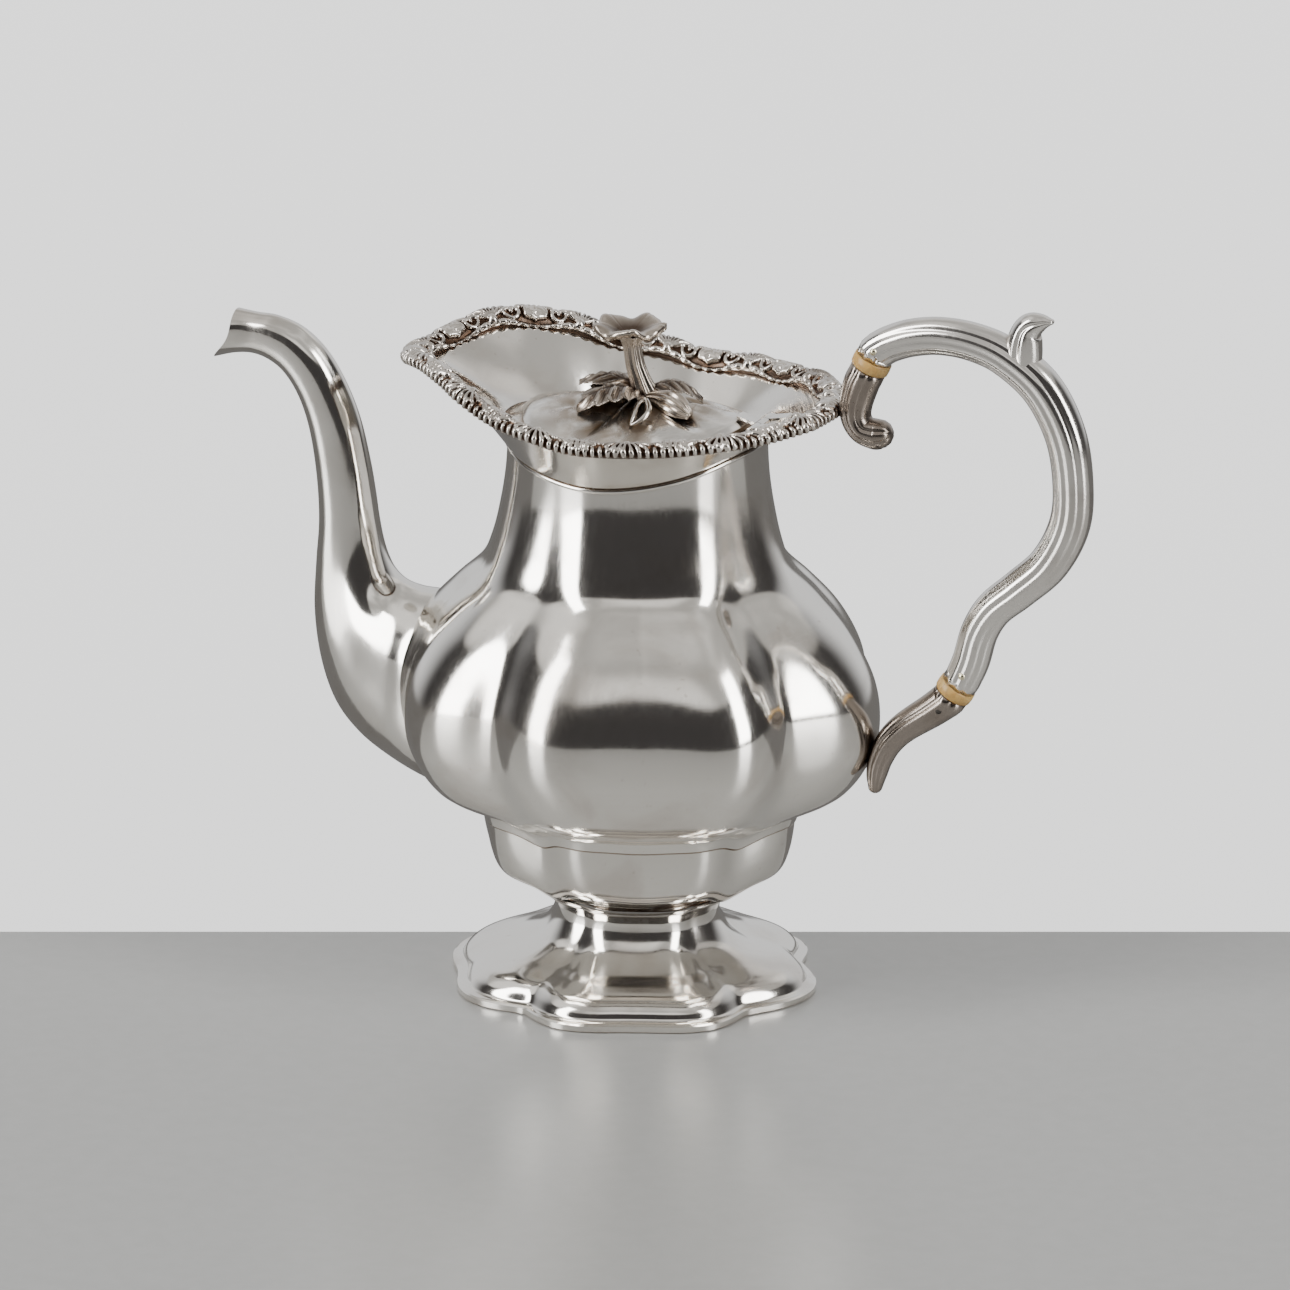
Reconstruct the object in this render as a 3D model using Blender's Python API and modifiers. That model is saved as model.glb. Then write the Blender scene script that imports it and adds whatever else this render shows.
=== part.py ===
"""A lobed silver coffee pot: body, foot, flared collar, hinged lid with flower finial, spout and handle.

Lengths are millimetres, measured from the pot's own upright axis and from the table it stands on.
The spout points to -X and the handle to +X. The raised silver pieces are thin shells.
"""

import math

import bmesh
import bpy
import numpy as np
from mathutils import Vector

MM = 0.001
GAP = 0.3
WALL = 1.0
COLUMNS = 48

# The frame's origin is under the middle of the whole object; the pot's axis stands a little to one side.
SPOUT_REACH = 137.0
HANDLE_REACH = 143.0
AXIS_X = (SPOUT_REACH - HANDLE_REACH) / 2

# Plan: an oval with eight lobes. Angles are degrees from the handle, the same on the front and the back.
OVAL = 0.93
FOOT_OVAL = 0.96
VALLEYS = (28.0, 69.0, 109.0, 154.0)
VALLEY_SHARES = (1.0, 0.4, 1.0, 0.6)
COLUMNS_AT_VALLEYS = (30.0, 67.5, 105.0, 150.0)
DIP = 3.0
DIP_HEIGHTS = (28.8, 36, 58, 72)
DIP_SHARES = (0, 1, 1, 0)
LOBE_HEIGHTS = (28, 40, 56, 84, 104, 122, 140, 170)
LOBE_DEPTHS = (0.05, 0.085, 0.095, 0.1, 0.09, 0.06, 0.032, 0.014)

# Body, from the neck down to the stepped seam, as (radius on a lobe's crown, height).
NECK_TOP = 169.0
SEAM_Z = 54.0
BELLY_PROFILE = (
    (39.4, NECK_TOP),
    (40.3, 158.6),
    (42.3, 148.0),
    (44.9, 138.4),
    (48.6, 130.6),
    (57.0, 122.8),
    (65.2, 114.4),
    (71.0, 106.0),
    (74.6, 98.0),
    (76.0, 89.5),
    (75.2, 80.5),
    (71.3, 72.0),
    (66.6, 66.0),
    (61.0, 62.0),
    (55.4, 59.2),
    (51.6, 56.8),
    (49.8, SEAM_Z),
)
BOWL_PROFILE = (
    (49.4, SEAM_Z - GAP),
    (48.9, 49.5),
    (48.0, 45.2),
    (46.4, 40.8),
    (44.4, 37.9),
    (41.6, 36.2),
    (34.0, 33.4),
    (28.4, 29.6),
    (27.2, 28.75),
    (0.0, 28.65),
)

# Foot: a domed skirt on a flat band, joined to the bowl by a thin ring.
FOOT_TOP = 27.0
RING_TOP = 28.3
RING_OUTER = 27.6
RING_INNER = 23.6
BAND_HEIGHT = 2.4
BAND_OUTER = 57.6
BAND_INNER = 51.6
FOOT_SHIFT = -1.3
FOOT_PROFILE = (
    (26.0, FOOT_TOP),
    (25.5, 23.2),
    (26.8, 19.2),
    (31.0, 14.6),
    (38.0, 11.2),
    (46.0, 8.8),
    (52.0, 6.2),
    (55.1, 4.2),
    (55.2, BAND_HEIGHT + GAP),
)

# Mouth: its edge rises to the spout and the handle and dips at the sides.
SADDLE = 4.4
SADDLE_FROM = 140.0
THROAT_R = 41.2
THROAT_Z = 170.4
BAND_BELOW = 1.4
SEAT_INNER = 33.0
SEAT_Z = 171.2
SEAT_THICK = 1.0
COLLAR_WALL = 0.9
DISH_BULGE = -0.04
COLLAR_ANGLES = (0, 30, 60, 90, 120, 135, 149, 165, 180)
COLLAR_HEIGHTS = (184.6, 182.4, 180.8, 180.0, 184.6, 190.6, 194.6, 192.0, 188.4)
COLLAR_RADII = (61.4, 58.0, 54.8, 53.6, 56.0, 58.2, 62.2, 67.6, 71.0)
BORDER_R = 2.6
BORDER_POINTS = 64

# Lid, on the seat inside the collar, with its hinge on the handle side.
LID_R = 34.8
LID_EDGE_Z = 173.4
LID_RISE = 9.2
LID_WALL = 0.8
BEZEL_R = 31.6
BEZEL_DEPTH = 4.6
HINGE_X = 39.6
HINGE_Z = 177.5
KNUCKLE_R = 1.75
KNUCKLE_BORE = 1.05
KNUCKLE_LENGTH = 5.6
LEAF_THICK = 0.8
LEAF_BITE = 0.6
LEAF_CLEAR = 0.5
LEAF_LIFT = 1.3
LEAF_END = 0.3
PIN_PROUD = 0.8
HINGE_PIN_R = 0.75

# Finial: a wavy flower on a bent stem, with three leaves, a bud and a tendril at its foot.
FINIAL_X = -2.0
FLOWER_R = 10.2
FLOWER_Z = 199.4
FLOWER_HEIGHT = 6.8
PETALS = 5

# Spout: its upper and lower edges in the upright plane and its half width, from inside the belly to the lip.
SPOUT_SECTIONS = (
    ((-58.0, 113.8), (-50.0, 50.4), 25.0),
    ((-67.0, 114.4), (-66.0, 55.2), 23.5),
    ((-72.4, 114.8), (-78.0, 60.0), 20.6),
    ((-77.4, 116.4), (-89.0, 66.4), 17.6),
    ((-80.8, 119.6), (-97.6, 75.4), 14.8),
    ((-82.8, 124.0), (-103.0, 88.4), 12.4),
    ((-84.2, 129.4), (-105.4, 104.0), 10.6),
    ((-85.4, 136.0), (-104.8, 119.6), 9.6),
    ((-86.4, 143.0), (-103.7, 133.4), 9.0),
    ((-88.0, 152.4), (-104.4, 147.6), 8.4),
    ((-91.0, 165.0), (-106.6, 161.4), 7.8),
    ((-95.4, 175.8), (-110.0, 171.2), 7.3),
    ((-101.4, 185.4), (-114.6, 178.0), 6.9),
    ((-109.0, 192.0), (-119.6, 181.6), 6.5),
    ((-117.5, 195.0), (-125.2, 183.2), 6.2),
    ((-124.6, 195.4), (-131.2, 182.8), 6.0),
    ((-131.0, 196.0), (-137.0, 181.2), 6.4),
)
SPOUT_SIDES = 16
SPOUT_WALL = 0.9
STRAINER_Z = 88.0
STRAINER_HOLE_R = 2.0
STRAINER_PITCH = 6.6

# Handle: (x, height, radius) along the middle of each piece, outwards from the joints with the bone rings.
# A joint is (x, height, tilt in degrees of its axis, which points into the grip).
GRIP_LINE = (
    (80.2, 206.9, 5.4),
    (87.0, 209.4, 5.5),
    (95.6, 210.7, 5.5),
    (105.7, 209.9, 5.6),
    (115.9, 206.4, 5.8),
    (127.1, 197.9, 6.1),
    (134.5, 184.4, 6.0),
    (137.0, 169.2, 5.9),
    (135.9, 157.0, 6.0),
    (130.0, 145.2, 5.9),
    (121.0, 136.4, 5.8),
    (113.2, 129.4, 5.6),
    (108.8, 122.0, 5.5),
    (106.2, 112.8, 5.5),
)
UPPER_SOCKET_LINE = (
    (70.6, 193.0, 5.4),
    (69.1, 186.7, 4.8),
    (70.1, 181.0, 4.5),
    (73.8, 178.0, 4.1),
)
VOLUTE_CENTRE = (77.0, 178.4)
VOLUTE_R = 5.2
VOLUTE_WIDTH = 8.4
LOWER_SOCKET_LINE = (
    (93.9, 95.3, 5.2),
    (86.6, 90.0, 4.8),
    (81.5, 85.5, 4.6),
    (78.0, 80.0, 4.8),
    (76.3, 74.6, 3.7),
    (75.6, 70.1, 2.3),
    (75.6, 67.2, 1.0),
)
UPPER_JOINT = (74.0, 200.4, 64.5)
LOWER_JOINT = (101.4, 103.2, 57.0)
JOINT_R = 5.4
TENON_R = 3.9
TENON_LENGTH = 8.0
RING_R = 5.8
RING_THICK = 3.6
GRIP_PIN_R = 1.15
GRIP_PINS_FROM_RINGS = {"upper": 5.4, "lower": 6.8}
SOCKET_PIN_FROM_RING = 7.0
THUMB_LINE = (
    (121.0, 205.0, 5.7),
    (121.0, 211.5, 4.9),
    (122.2, 216.3, 4.0),
    (125.9, 218.2, 2.7),
    (130.2, 217.8, 1.1),
)

SILVER = ("silver", (0.80, 0.78, 0.75), 0.18, 1.0)
OXIDISED = ("silver_oxidised", (0.50, 0.45, 0.40), 0.34, 1.0)
BONE = ("bone", (0.86, 0.75, 0.52), 0.42, 0.0)
BRASS = ("brass", (0.80, 0.72, 0.45), 0.30, 1.0)


def new_collection(name):
    group = bpy.data.collections.new(name)
    bpy.context.scene.collection.children.link(group)
    return group


for old in list(bpy.data.objects):
    bpy.data.objects.remove(old)
for old in list(bpy.data.collections):
    bpy.data.collections.remove(old)
PARTS = new_collection("silver_coffee_pot")
CUTTERS = new_collection("cutters")


# Lobes and slopes


def lobed(angle, depth, shape=0.85):
    """Share of the radius left at an angle in radians: 1 on a lobe's crown, 1 - depth in a full valley.

    A shape below 1 makes full lobes with sharp valleys, and 2 makes an even wave.
    """
    degrees = abs(math.degrees(angle))
    stops = (-VALLEYS[0], *VALLEYS, 360 - VALLEYS[-1])
    shares = (VALLEY_SHARES[0], *VALLEY_SHARES, VALLEY_SHARES[-1])
    for low, high, share_low, share_high in zip(stops, stops[1:], shares, shares[1:]):
        if low <= degrees <= high:
            along = (degrees - low) / (high - low)
            crown = math.sin(math.pi * along) ** shape
            return 1 - depth * (share_low + (share_high - share_low) * along) * (1 - crown)
    return 1


def on_valleys(angle):
    """Moves evenly spaced columns so that one runs down each valley."""
    at = np.interp(abs(math.degrees(angle)), (0, *COLUMNS_AT_VALLEYS, 180), (0, *VALLEYS, 180))
    return math.copysign(math.radians(at), angle)


def saddle(angle, radius):
    return SADDLE * math.cos(2 * angle) * min(1, (radius / SEAT_INNER) ** 2)


def body_point(angle, radius, height):
    angle = on_valleys(angle)
    depth = float(np.interp(height, LOBE_HEIGHTS, LOBE_DEPTHS))
    shape = float(np.interp(height, (60, 100, 140), (1.7, 1.4, 1.6)))
    reach = radius * lobed(angle, depth, shape)
    share = min(1, max(0, (height - SADDLE_FROM) / (NECK_TOP - SADDLE_FROM)))
    rise = saddle(angle, radius) * share**2
    rise -= DIP * (1 - lobed(angle, 1, 1.6)) ** 2 * float(np.interp(height, DIP_HEIGHTS, DIP_SHARES))
    return reach * math.cos(angle), reach * math.sin(angle) * OVAL, height + rise


def foot_point(angle, radius, height):
    angle = on_valleys(angle)
    depth = float(np.interp(radius, (26, 38, 52), (0.04, 0.09, 0.1)))
    reach = radius * lobed(angle, depth, 1.3)
    shift = FOOT_SHIFT * min(1, max(0, (FOOT_TOP - height) / FOOT_TOP))
    return shift + reach * math.cos(angle), reach * math.sin(angle) * FOOT_OVAL, height


def mouth_point(angle, radius, height):
    """A point of the throat, the seat or the lid, on the mouth's saddle."""
    angle = on_valleys(angle)
    reach = radius * lobed(angle, LOBE_DEPTHS[-1], 1.6)
    return reach * math.cos(angle), reach * math.sin(angle) * OVAL, height + saddle(angle, radius)


def collar_edge(angle):
    """The middle of the cast border: wide and high at the spout, narrow and low at the sides."""
    degrees = abs(math.degrees(angle))
    radius = float(np.interp(degrees, COLLAR_ANGLES, COLLAR_RADII))
    height = float(np.interp(degrees, COLLAR_ANGLES, COLLAR_HEIGHTS))
    return radius * math.cos(angle), radius * math.sin(angle), height


def dish_point(angle, share):
    """A point of the collar's dish: share 0 is the throat's edge and 1 is the border."""
    low = Vector(mouth_point(angle, THROAT_R, THROAT_Z))
    rim = Vector(collar_edge(on_valleys(angle)))
    inward = Vector((rim.x, rim.y, 0)).normalized() * (BORDER_R + GAP)
    rim -= inward
    flare = share + DISH_BULGE * math.sin(math.pi * share)
    x = low.x + (rim.x - low.x) * flare
    y = low.y + (rim.y - low.y) * flare
    return Vector((x, y, low.z + (rim.z - low.z) * share))


# Making objects


def finished(obj, finish):
    name, colour, roughness, metallic = finish
    made = bpy.data.materials.get(name) or bpy.data.materials.new(name)
    made.use_nodes = True
    shader = made.node_tree.nodes["Principled BSDF"]
    shader.inputs["Base Color"].default_value = (*colour, 1)
    shader.inputs["Roughness"].default_value = roughness
    shader.inputs["Metallic"].default_value = metallic
    obj.data.materials.clear()
    obj.data.materials.append(made)
    obj.data.shade_smooth()
    obj.data.set_sharp_from_angle(angle=math.radians(40))
    return obj


def baked(obj):
    """The object with its modifiers applied and its caps welded, as a plain mesh object."""
    bpy.context.view_layer.update()
    mesh = bpy.data.meshes.new_from_object(obj.evaluated_get(bpy.context.evaluated_depsgraph_get()))
    mesh.transform(obj.matrix_world)
    name = obj.name
    groups = list(obj.users_collection)
    bpy.data.objects.remove(obj)
    welded = bmesh.new()
    welded.from_mesh(mesh)
    bmesh.ops.remove_doubles(welded, verts=welded.verts, dist=1e-7)
    bmesh.ops.recalc_face_normals(welded, faces=welded.faces)
    welded.to_mesh(mesh)
    welded.free()
    mesh.name = name
    made = bpy.data.objects.new(name, mesh)
    for group in groups:
        group.objects.link(made)
    return made


def turned(name, profile, place, closed=False, wall=0.0, columns=COLUMNS, group=PARTS):
    """A profile of (radius, height) turned by a Screw; place(angle, radius, height) sets each point."""
    mesh = bpy.data.meshes.new(name)
    count = len(profile)
    edges = [(i, i + 1) for i in range(count - 1)] + ([(count - 1, 0)] if closed else [])
    mesh.from_pydata([(radius, 0, height) for radius, height in profile], edges, [])
    obj = bpy.data.objects.new(name, mesh)
    group.objects.link(obj)
    screw = obj.modifiers.new("turn", "SCREW")
    screw.steps = columns
    screw.render_steps = columns
    screw.use_merge_vertices = True
    screw.merge_threshold = 1e-4
    obj = baked(obj)
    for vertex in obj.data.vertices:
        x, y, z = vertex.co
        vertex.co = Vector(place(math.atan2(y, x), math.hypot(x, y), z)) * MM
    if wall:
        shell = obj.modifiers.new("wall", "SOLIDIFY")
        shell.thickness = wall * MM
        shell.offset = -1
        obj = baked(obj)
    return obj


def tube(name, line, sides=12, cyclic=False, group=PARTS):
    """A round rod along points (x, y, z, radius)."""
    curve = bpy.data.curves.new(name, "CURVE")
    curve.dimensions = "3D"
    curve.bevel_depth = MM
    curve.bevel_resolution = sides // 2 - 2
    curve.use_fill_caps = not cyclic
    spline = curve.splines.new("POLY")
    spline.points.add(len(line) - 1)
    for point, (x, y, z, radius) in zip(spline.points, line):
        point.co = (x * MM, y * MM, z * MM, 1)
        point.radius = radius
    spline.use_cyclic_u = cyclic
    obj = bpy.data.objects.new(name, curve)
    group.objects.link(obj)
    return baked(obj)


def smooth_line(points, steps):
    """Points along a Catmull-Rom curve through the given ones, with this many steps to a span."""
    knots = [np.array(point, float) for point in points]
    knots = [2 * knots[0] - knots[1], *knots, 2 * knots[-1] - knots[-2]]
    line = []
    for a, b, c, d in zip(knots, knots[1:], knots[2:], knots[3:]):
        for step in range(steps):
            t = step / steps
            bend = (2 * a - 5 * b + 4 * c - d) * t**2 + (3 * b - a - 3 * c + d) * t**3
            line.append(tuple((2 * b + (c - a) * t + bend) / 2))
    line.append(tuple(knots[-2]))
    return line


def upright(line, y=0.0):
    """Points (x, height, radius) as points in space."""
    return [(x, y, z, radius) for x, z, radius in line]


def rod(name, centre, direction, radius, length, sides=16, group=PARTS):
    """A cylinder centred on a point and lying along a direction."""
    mesh = bpy.data.meshes.new(name)
    made = bmesh.new()
    ends = {"radius1": radius * MM, "radius2": radius * MM, "depth": length * MM}
    bmesh.ops.create_cone(made, cap_ends=True, segments=sides, **ends)
    made.to_mesh(mesh)
    made.free()
    obj = bpy.data.objects.new(name, mesh)
    group.objects.link(obj)
    obj.rotation_mode = "QUATERNION"
    obj.rotation_quaternion = Vector((0, 0, 1)).rotation_difference(Vector(direction))
    obj.location = Vector(centre) * MM
    return baked(obj)


def changed(obj, other, operation="DIFFERENCE"):
    """The object after one exact Boolean with another, which is used up."""
    change = obj.modifiers.new("change", "BOOLEAN")
    change.operation = operation
    change.object = other
    change.solver = "EXACT"
    obj = baked(obj)
    bpy.data.objects.remove(other)
    return obj


# Body and foot


def body_room():
    """A solid a gap larger than the belly, which the pieces soldered to it are cut with."""
    wall = [(radius + GAP, height) for radius, height in BELLY_PROFILE]
    outline = [(0.0, NECK_TOP + 1), *wall, (0.0, SEAM_Z)]
    return turned("body_room", outline, body_point, group=CUTTERS)


def strainer_drill():
    """Seven short rods through the belly's wall behind the spout."""
    drill = None
    for row, count in ((-1, 2), (0, 3), (1, 2)):
        for k in range(count):
            y = (k - (count - 1) / 2) * STRAINER_PITCH
            centre = (-BELLY_PROFILE[9][0], y, STRAINER_Z + row * STRAINER_PITCH * 0.87)
            hole = rod("strainer_hole", centre, (1, 0, 0), STRAINER_HOLE_R, 16, sides=8, group=CUTTERS)
            drill = changed(drill, hole, "UNION") if drill else hole
    return drill


def make_body():
    belly = turned("belly_body", BELLY_PROFILE, body_point, wall=WALL)
    finished(changed(belly, strainer_drill()), SILVER)
    finished(turned("lower_bowl", BOWL_PROFILE, body_point, wall=WALL), SILVER)


def make_foot():
    ring = [
        (RING_OUTER - 0.5, RING_TOP),
        (RING_OUTER, (RING_TOP + FOOT_TOP) / 2),
        (RING_OUTER - 0.5, FOOT_TOP + GAP),
        (RING_INNER, FOOT_TOP + GAP),
        (RING_INNER, RING_TOP),
    ]
    finished(turned("foot_collet", ring, foot_point, closed=True), SILVER)
    finished(turned("foot_dome", FOOT_PROFILE, foot_point, wall=WALL), SILVER)
    band = [
        (BAND_OUTER - 0.9, BAND_HEIGHT),
        (BAND_OUTER, BAND_HEIGHT - 0.7),
        (BAND_OUTER, 0.6),
        (BAND_OUTER - 0.5, 0.0),
        (BAND_INNER, 0.0),
        (BAND_INNER, BAND_HEIGHT),
    ]
    finished(turned("foot_band", band, foot_point, closed=True), SILVER)


# Collar, border and seat


def make_mouth():
    neck_r = BELLY_PROFILE[0][0]
    band = [
        (neck_r + 1.0, -0.2),
        (neck_r + 1.6, -1.0),
        (neck_r + 1.0, -1.8),
        (neck_r + GAP + 0.1, -1.8),
        (neck_r + GAP + 0.1, -0.2),
    ]
    band = [(radius, NECK_TOP - BAND_BELOW + drop) for radius, drop in band]
    finished(turned("neck_band", band, mouth_point, closed=True), SILVER)

    shares = (1.0, 0.8, 0.6, 0.4, 0.2, 0.06)
    outline = [(1 + share, share) for share in shares]
    collar = turned("collar", outline, lambda angle, _, share: dish_point(angle, share), wall=COLLAR_WALL)
    finished(collar, SILVER)

    edge = []
    for k in range(BORDER_POINTS):
        angle = 2 * math.pi * k / BORDER_POINTS
        scroll = 0.35 * math.cos(16 * angle)
        edge.append((*collar_edge(math.atan2(math.sin(angle), math.cos(angle))), BORDER_R + scroll - 0.35))
    finished(tube("collar_border", edge, sides=8, cyclic=True), OXIDISED)

    seat = [
        (THROAT_R - 0.6, THROAT_Z),
        (SEAT_INNER, SEAT_Z),
        (SEAT_INNER, SEAT_Z - SEAT_THICK),
        (THROAT_R - 0.6, THROAT_Z - SEAT_THICK),
    ]
    finished(turned("lid_seat", seat, mouth_point, closed=True), SILVER)


# Lid, hinge and finial


def lid_height(radius):
    """The lid's outside above its edge's level, before the mouth's saddle."""
    share = min(1, radius / LID_R)
    return LID_EDGE_Z + LID_RISE * (1 - share**2) ** 0.9


def make_lid():
    radii = [LID_R * share for share in (0.0, 0.2, 0.4, 0.6, 0.78, 0.92, 1.0)]
    lid = turned("lid_dome", [(radius, lid_height(radius)) for radius in radii], mouth_point, wall=LID_WALL)
    finished(lid, SILVER)
    top = SEAT_Z + 1.0
    bezel = [
        (BEZEL_R, top),
        (BEZEL_R - 0.2, SEAT_Z - BEZEL_DEPTH),
        (BEZEL_R - 1.1, SEAT_Z - BEZEL_DEPTH),
        (BEZEL_R - 0.9, top),
    ]
    finished(turned("lid_bezel", bezel, mouth_point, closed=True), SILVER)


def knuckle(name, side, leaf):
    """A barrel on the hinge's axis with its leaf, whose lower line runs through two points (x, height)."""
    centre_y = side * (KNUCKLE_LENGTH + GAP)
    barrel = rod(name, (HINGE_X, centre_y, HINGE_Z), (0, 1, 0), KNUCKLE_R, KNUCKLE_LENGTH)
    mesh = bpy.data.meshes.new("leaf")
    box = bmesh.new()
    bmesh.ops.create_cube(box, size=1)
    for vertex in box.verts:
        x, z = leaf[0] if vertex.co.x < 0 else leaf[1]
        thick = LEAF_THICK if vertex.co.z > 0 else 0
        vertex.co = Vector((x, centre_y + vertex.co.y * (KNUCKLE_LENGTH - 0.2), z + thick)) * MM
    box.to_mesh(mesh)
    box.free()
    plate = bpy.data.objects.new("leaf", mesh)
    PARTS.objects.link(plate)
    barrel = changed(barrel, plate, "UNION")
    centre = (HINGE_X, centre_y, HINGE_Z)
    bore = rod("bore", centre, (0, 1, 0), KNUCKLE_BORE, KNUCKLE_LENGTH + 4, group=CUTTERS)
    finished(changed(barrel, bore), SILVER)


def make_hinge():
    far = dish_point(0.0, LEAF_END)
    near = Vector((HINGE_X + LEAF_BITE, 0, HINGE_Z + LEAF_BITE))
    for name, side in (("hinge_knuckle_front", -1), ("hinge_knuckle_back", 1)):
        knuckle(name, side, ((near.x, near.z), (far.x, far.z + LEAF_LIFT)))
    inner_x = LID_R - 2.2
    inner_z = lid_height(inner_x) + SADDLE + LEAF_CLEAR
    knuckle("hinge_knuckle_lid", 0, ((inner_x, inner_z), (HINGE_X - 2 * LEAF_BITE, HINGE_Z + LEAF_BITE)))
    length = 3 * KNUCKLE_LENGTH + 2 * GAP + PIN_PROUD
    finished(rod("hinge_pin", (HINGE_X, 0, HINGE_Z), (0, 1, 0), HINGE_PIN_R, length, sides=12), BRASS)


def leaf_blade(name, heading, length, width, rise, droop, root):
    """A leaf: a grid arched along its length and folded down either side of its vein."""
    mesh = bpy.data.meshes.new(name)
    made = bmesh.new()
    bmesh.ops.create_grid(made, x_segments=7, y_segments=4, size=0.5)
    for vertex in made.verts:
        along = vertex.co.x + 0.5
        side = vertex.co.y * 2
        half = width / 2 * (math.sin(math.pi * (0.12 + 0.84 * along)) ** 0.8)
        out = length * along
        up = rise * math.sin(math.pi * 0.7 * along) - droop * along**2 - 1.2 * side**2
        x = root[0] + out * math.cos(heading) - side * half * math.sin(heading)
        y = root[1] + out * math.sin(heading) + side * half * math.cos(heading)
        vertex.co = Vector((x, y, root[2] + up)) * MM
    made.to_mesh(mesh)
    made.free()
    obj = bpy.data.objects.new(name, mesh)
    PARTS.objects.link(obj)
    shell = obj.modifiers.new("thickness", "SOLIDIFY")
    shell.thickness = 0.8 * MM
    shell.offset = 0
    return finished(baked(obj), OXIDISED)


def make_finial():
    crown_z = lid_height(0)
    stem = (
        (1.2, crown_z + 2.5 * GAP, 3.8),
        (0.6, crown_z + 3.4, 3.0),
        (-1.4, crown_z + 9.6, 2.6),
        (-2.0, FLOWER_Z - 1.4, 2.4),
    )
    finished(tube("finial_stem", upright(smooth_line(stem, 3)), sides=10), OXIDISED)

    def petal_point(angle, radius, height):
        wave = math.cos(PETALS * angle) * (radius / FLOWER_R) ** 2
        reach = radius * (1 + 0.06 * wave)
        return FINIAL_X + reach * math.cos(angle), reach * math.sin(angle), height + 1.1 * wave

    flower = [(0.0, 0.0), (2.6, 0.4), (5.4, 2.2), (7.8, 4.0), (FLOWER_R - 0.4, FLOWER_HEIGHT - 1.1)]
    flower = [(radius, FLOWER_Z + rise) for radius, rise in flower]
    finished(turned("finial_flower", flower, petal_point, wall=0.8, columns=30), OXIDISED)

    blades = (
        ("finial_leaf_left", 172, 14.6, 11.0, 2.6, 1.4),
        ("finial_leaf_front", -120, 12.6, 12.0, 2.2, 3.6),
        ("finial_leaf_right", 20, 10.4, 9.0, 2.4, 3.4),
    )
    for name, heading, length, width, rise, droop in blades:
        turn = math.radians(heading)
        root = (1.0 + 4.9 * math.cos(turn), 4.9 * math.sin(turn), crown_z + 3.0)
        leaf_blade(name, turn, length, width, rise, droop, root)
    bud = (
        (9.6, -7.4, crown_z + 1.0, 1.2),
        (12.6, -9.6, crown_z + 1.2, 2.2),
        (15.6, -11.6, crown_z + 0.4, 1.0),
    )
    finished(tube("finial_bud", bud, sides=8), OXIDISED)
    curl = (
        (5.0, -6.6, crown_z + 1.6, 0.7),
        (8.0, -12.4, crown_z + 0.6, 0.7),
        (6.6, -15.6, crown_z - 1.0, 0.7),
        (4.0, -15.0, crown_z - 0.4, 0.6),
        (3.4, -11.0, crown_z + 0.9, 0.6),
    )
    finished(tube("finial_tendril", smooth_line(curl, 2), sides=6), OXIDISED)


# Spout


def make_spout():
    sections = smooth_line([(*upper, *lower, half) for upper, lower, half in SPOUT_SECTIONS], 1)
    mesh = bpy.data.meshes.new("spout")
    made = bmesh.new()
    rings = []
    for upper_x, upper_z, lower_x, lower_z, half in sections:
        ring = []
        for k in range(SPOUT_SIDES):
            turn = 2 * math.pi * k / SPOUT_SIDES
            share = (1 + math.cos(turn)) / 2
            x = lower_x + (upper_x - lower_x) * share
            z = lower_z + (upper_z - lower_z) * share
            ring.append(made.verts.new((x * MM, half * math.sin(turn) * MM, z * MM)))
        rings.append(ring)
    for ring, after in zip(rings, rings[1:]):
        for k in range(SPOUT_SIDES):
            beside = (k + 1) % SPOUT_SIDES
            made.faces.new((ring[k], ring[beside], after[beside], after[k]))
    bmesh.ops.recalc_face_normals(made, faces=made.faces)
    made.to_mesh(mesh)
    made.free()
    obj = bpy.data.objects.new("spout", mesh)
    PARTS.objects.link(obj)
    shell = obj.modifiers.new("wall", "SOLIDIFY")
    shell.thickness = SPOUT_WALL * MM
    shell.offset = -1
    finished(changed(baked(obj), body_room()), SILVER)


# Handle


def joint_axis(joint):
    x, z, tilt = joint
    return Vector((x, 0, z)), Vector((math.cos(math.radians(tilt)), 0, math.sin(math.radians(tilt))))


def from_joint(joint, sign):
    """The first two points of a piece that meets a bone ring squarely, on the grip's side or the socket's."""
    middle, axis = joint_axis(joint)
    reaches = (RING_THICK / 2 + GAP, RING_THICK / 2 + GAP + 2.2)
    return [(middle.x + sign * axis.x * reach, middle.z + sign * axis.z * reach, JOINT_R) for reach in reaches]


def pin_room(centre):
    return rod("pin_room", centre, (0, 1, 0), GRIP_PIN_R + GAP, 4 * JOINT_R, sides=12, group=CUTTERS)


def insulator(place, joint):
    """The bone ring between a socket and the grip, round the grip's tenon."""
    middle, axis = joint_axis(joint)
    ring = rod(place + "_insulator", middle, axis, RING_R, RING_THICK, sides=24)
    hole = rod("hole", middle, axis, TENON_R + GAP, RING_THICK * 2, group=CUTTERS)
    finished(changed(ring, hole), BONE)


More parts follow.
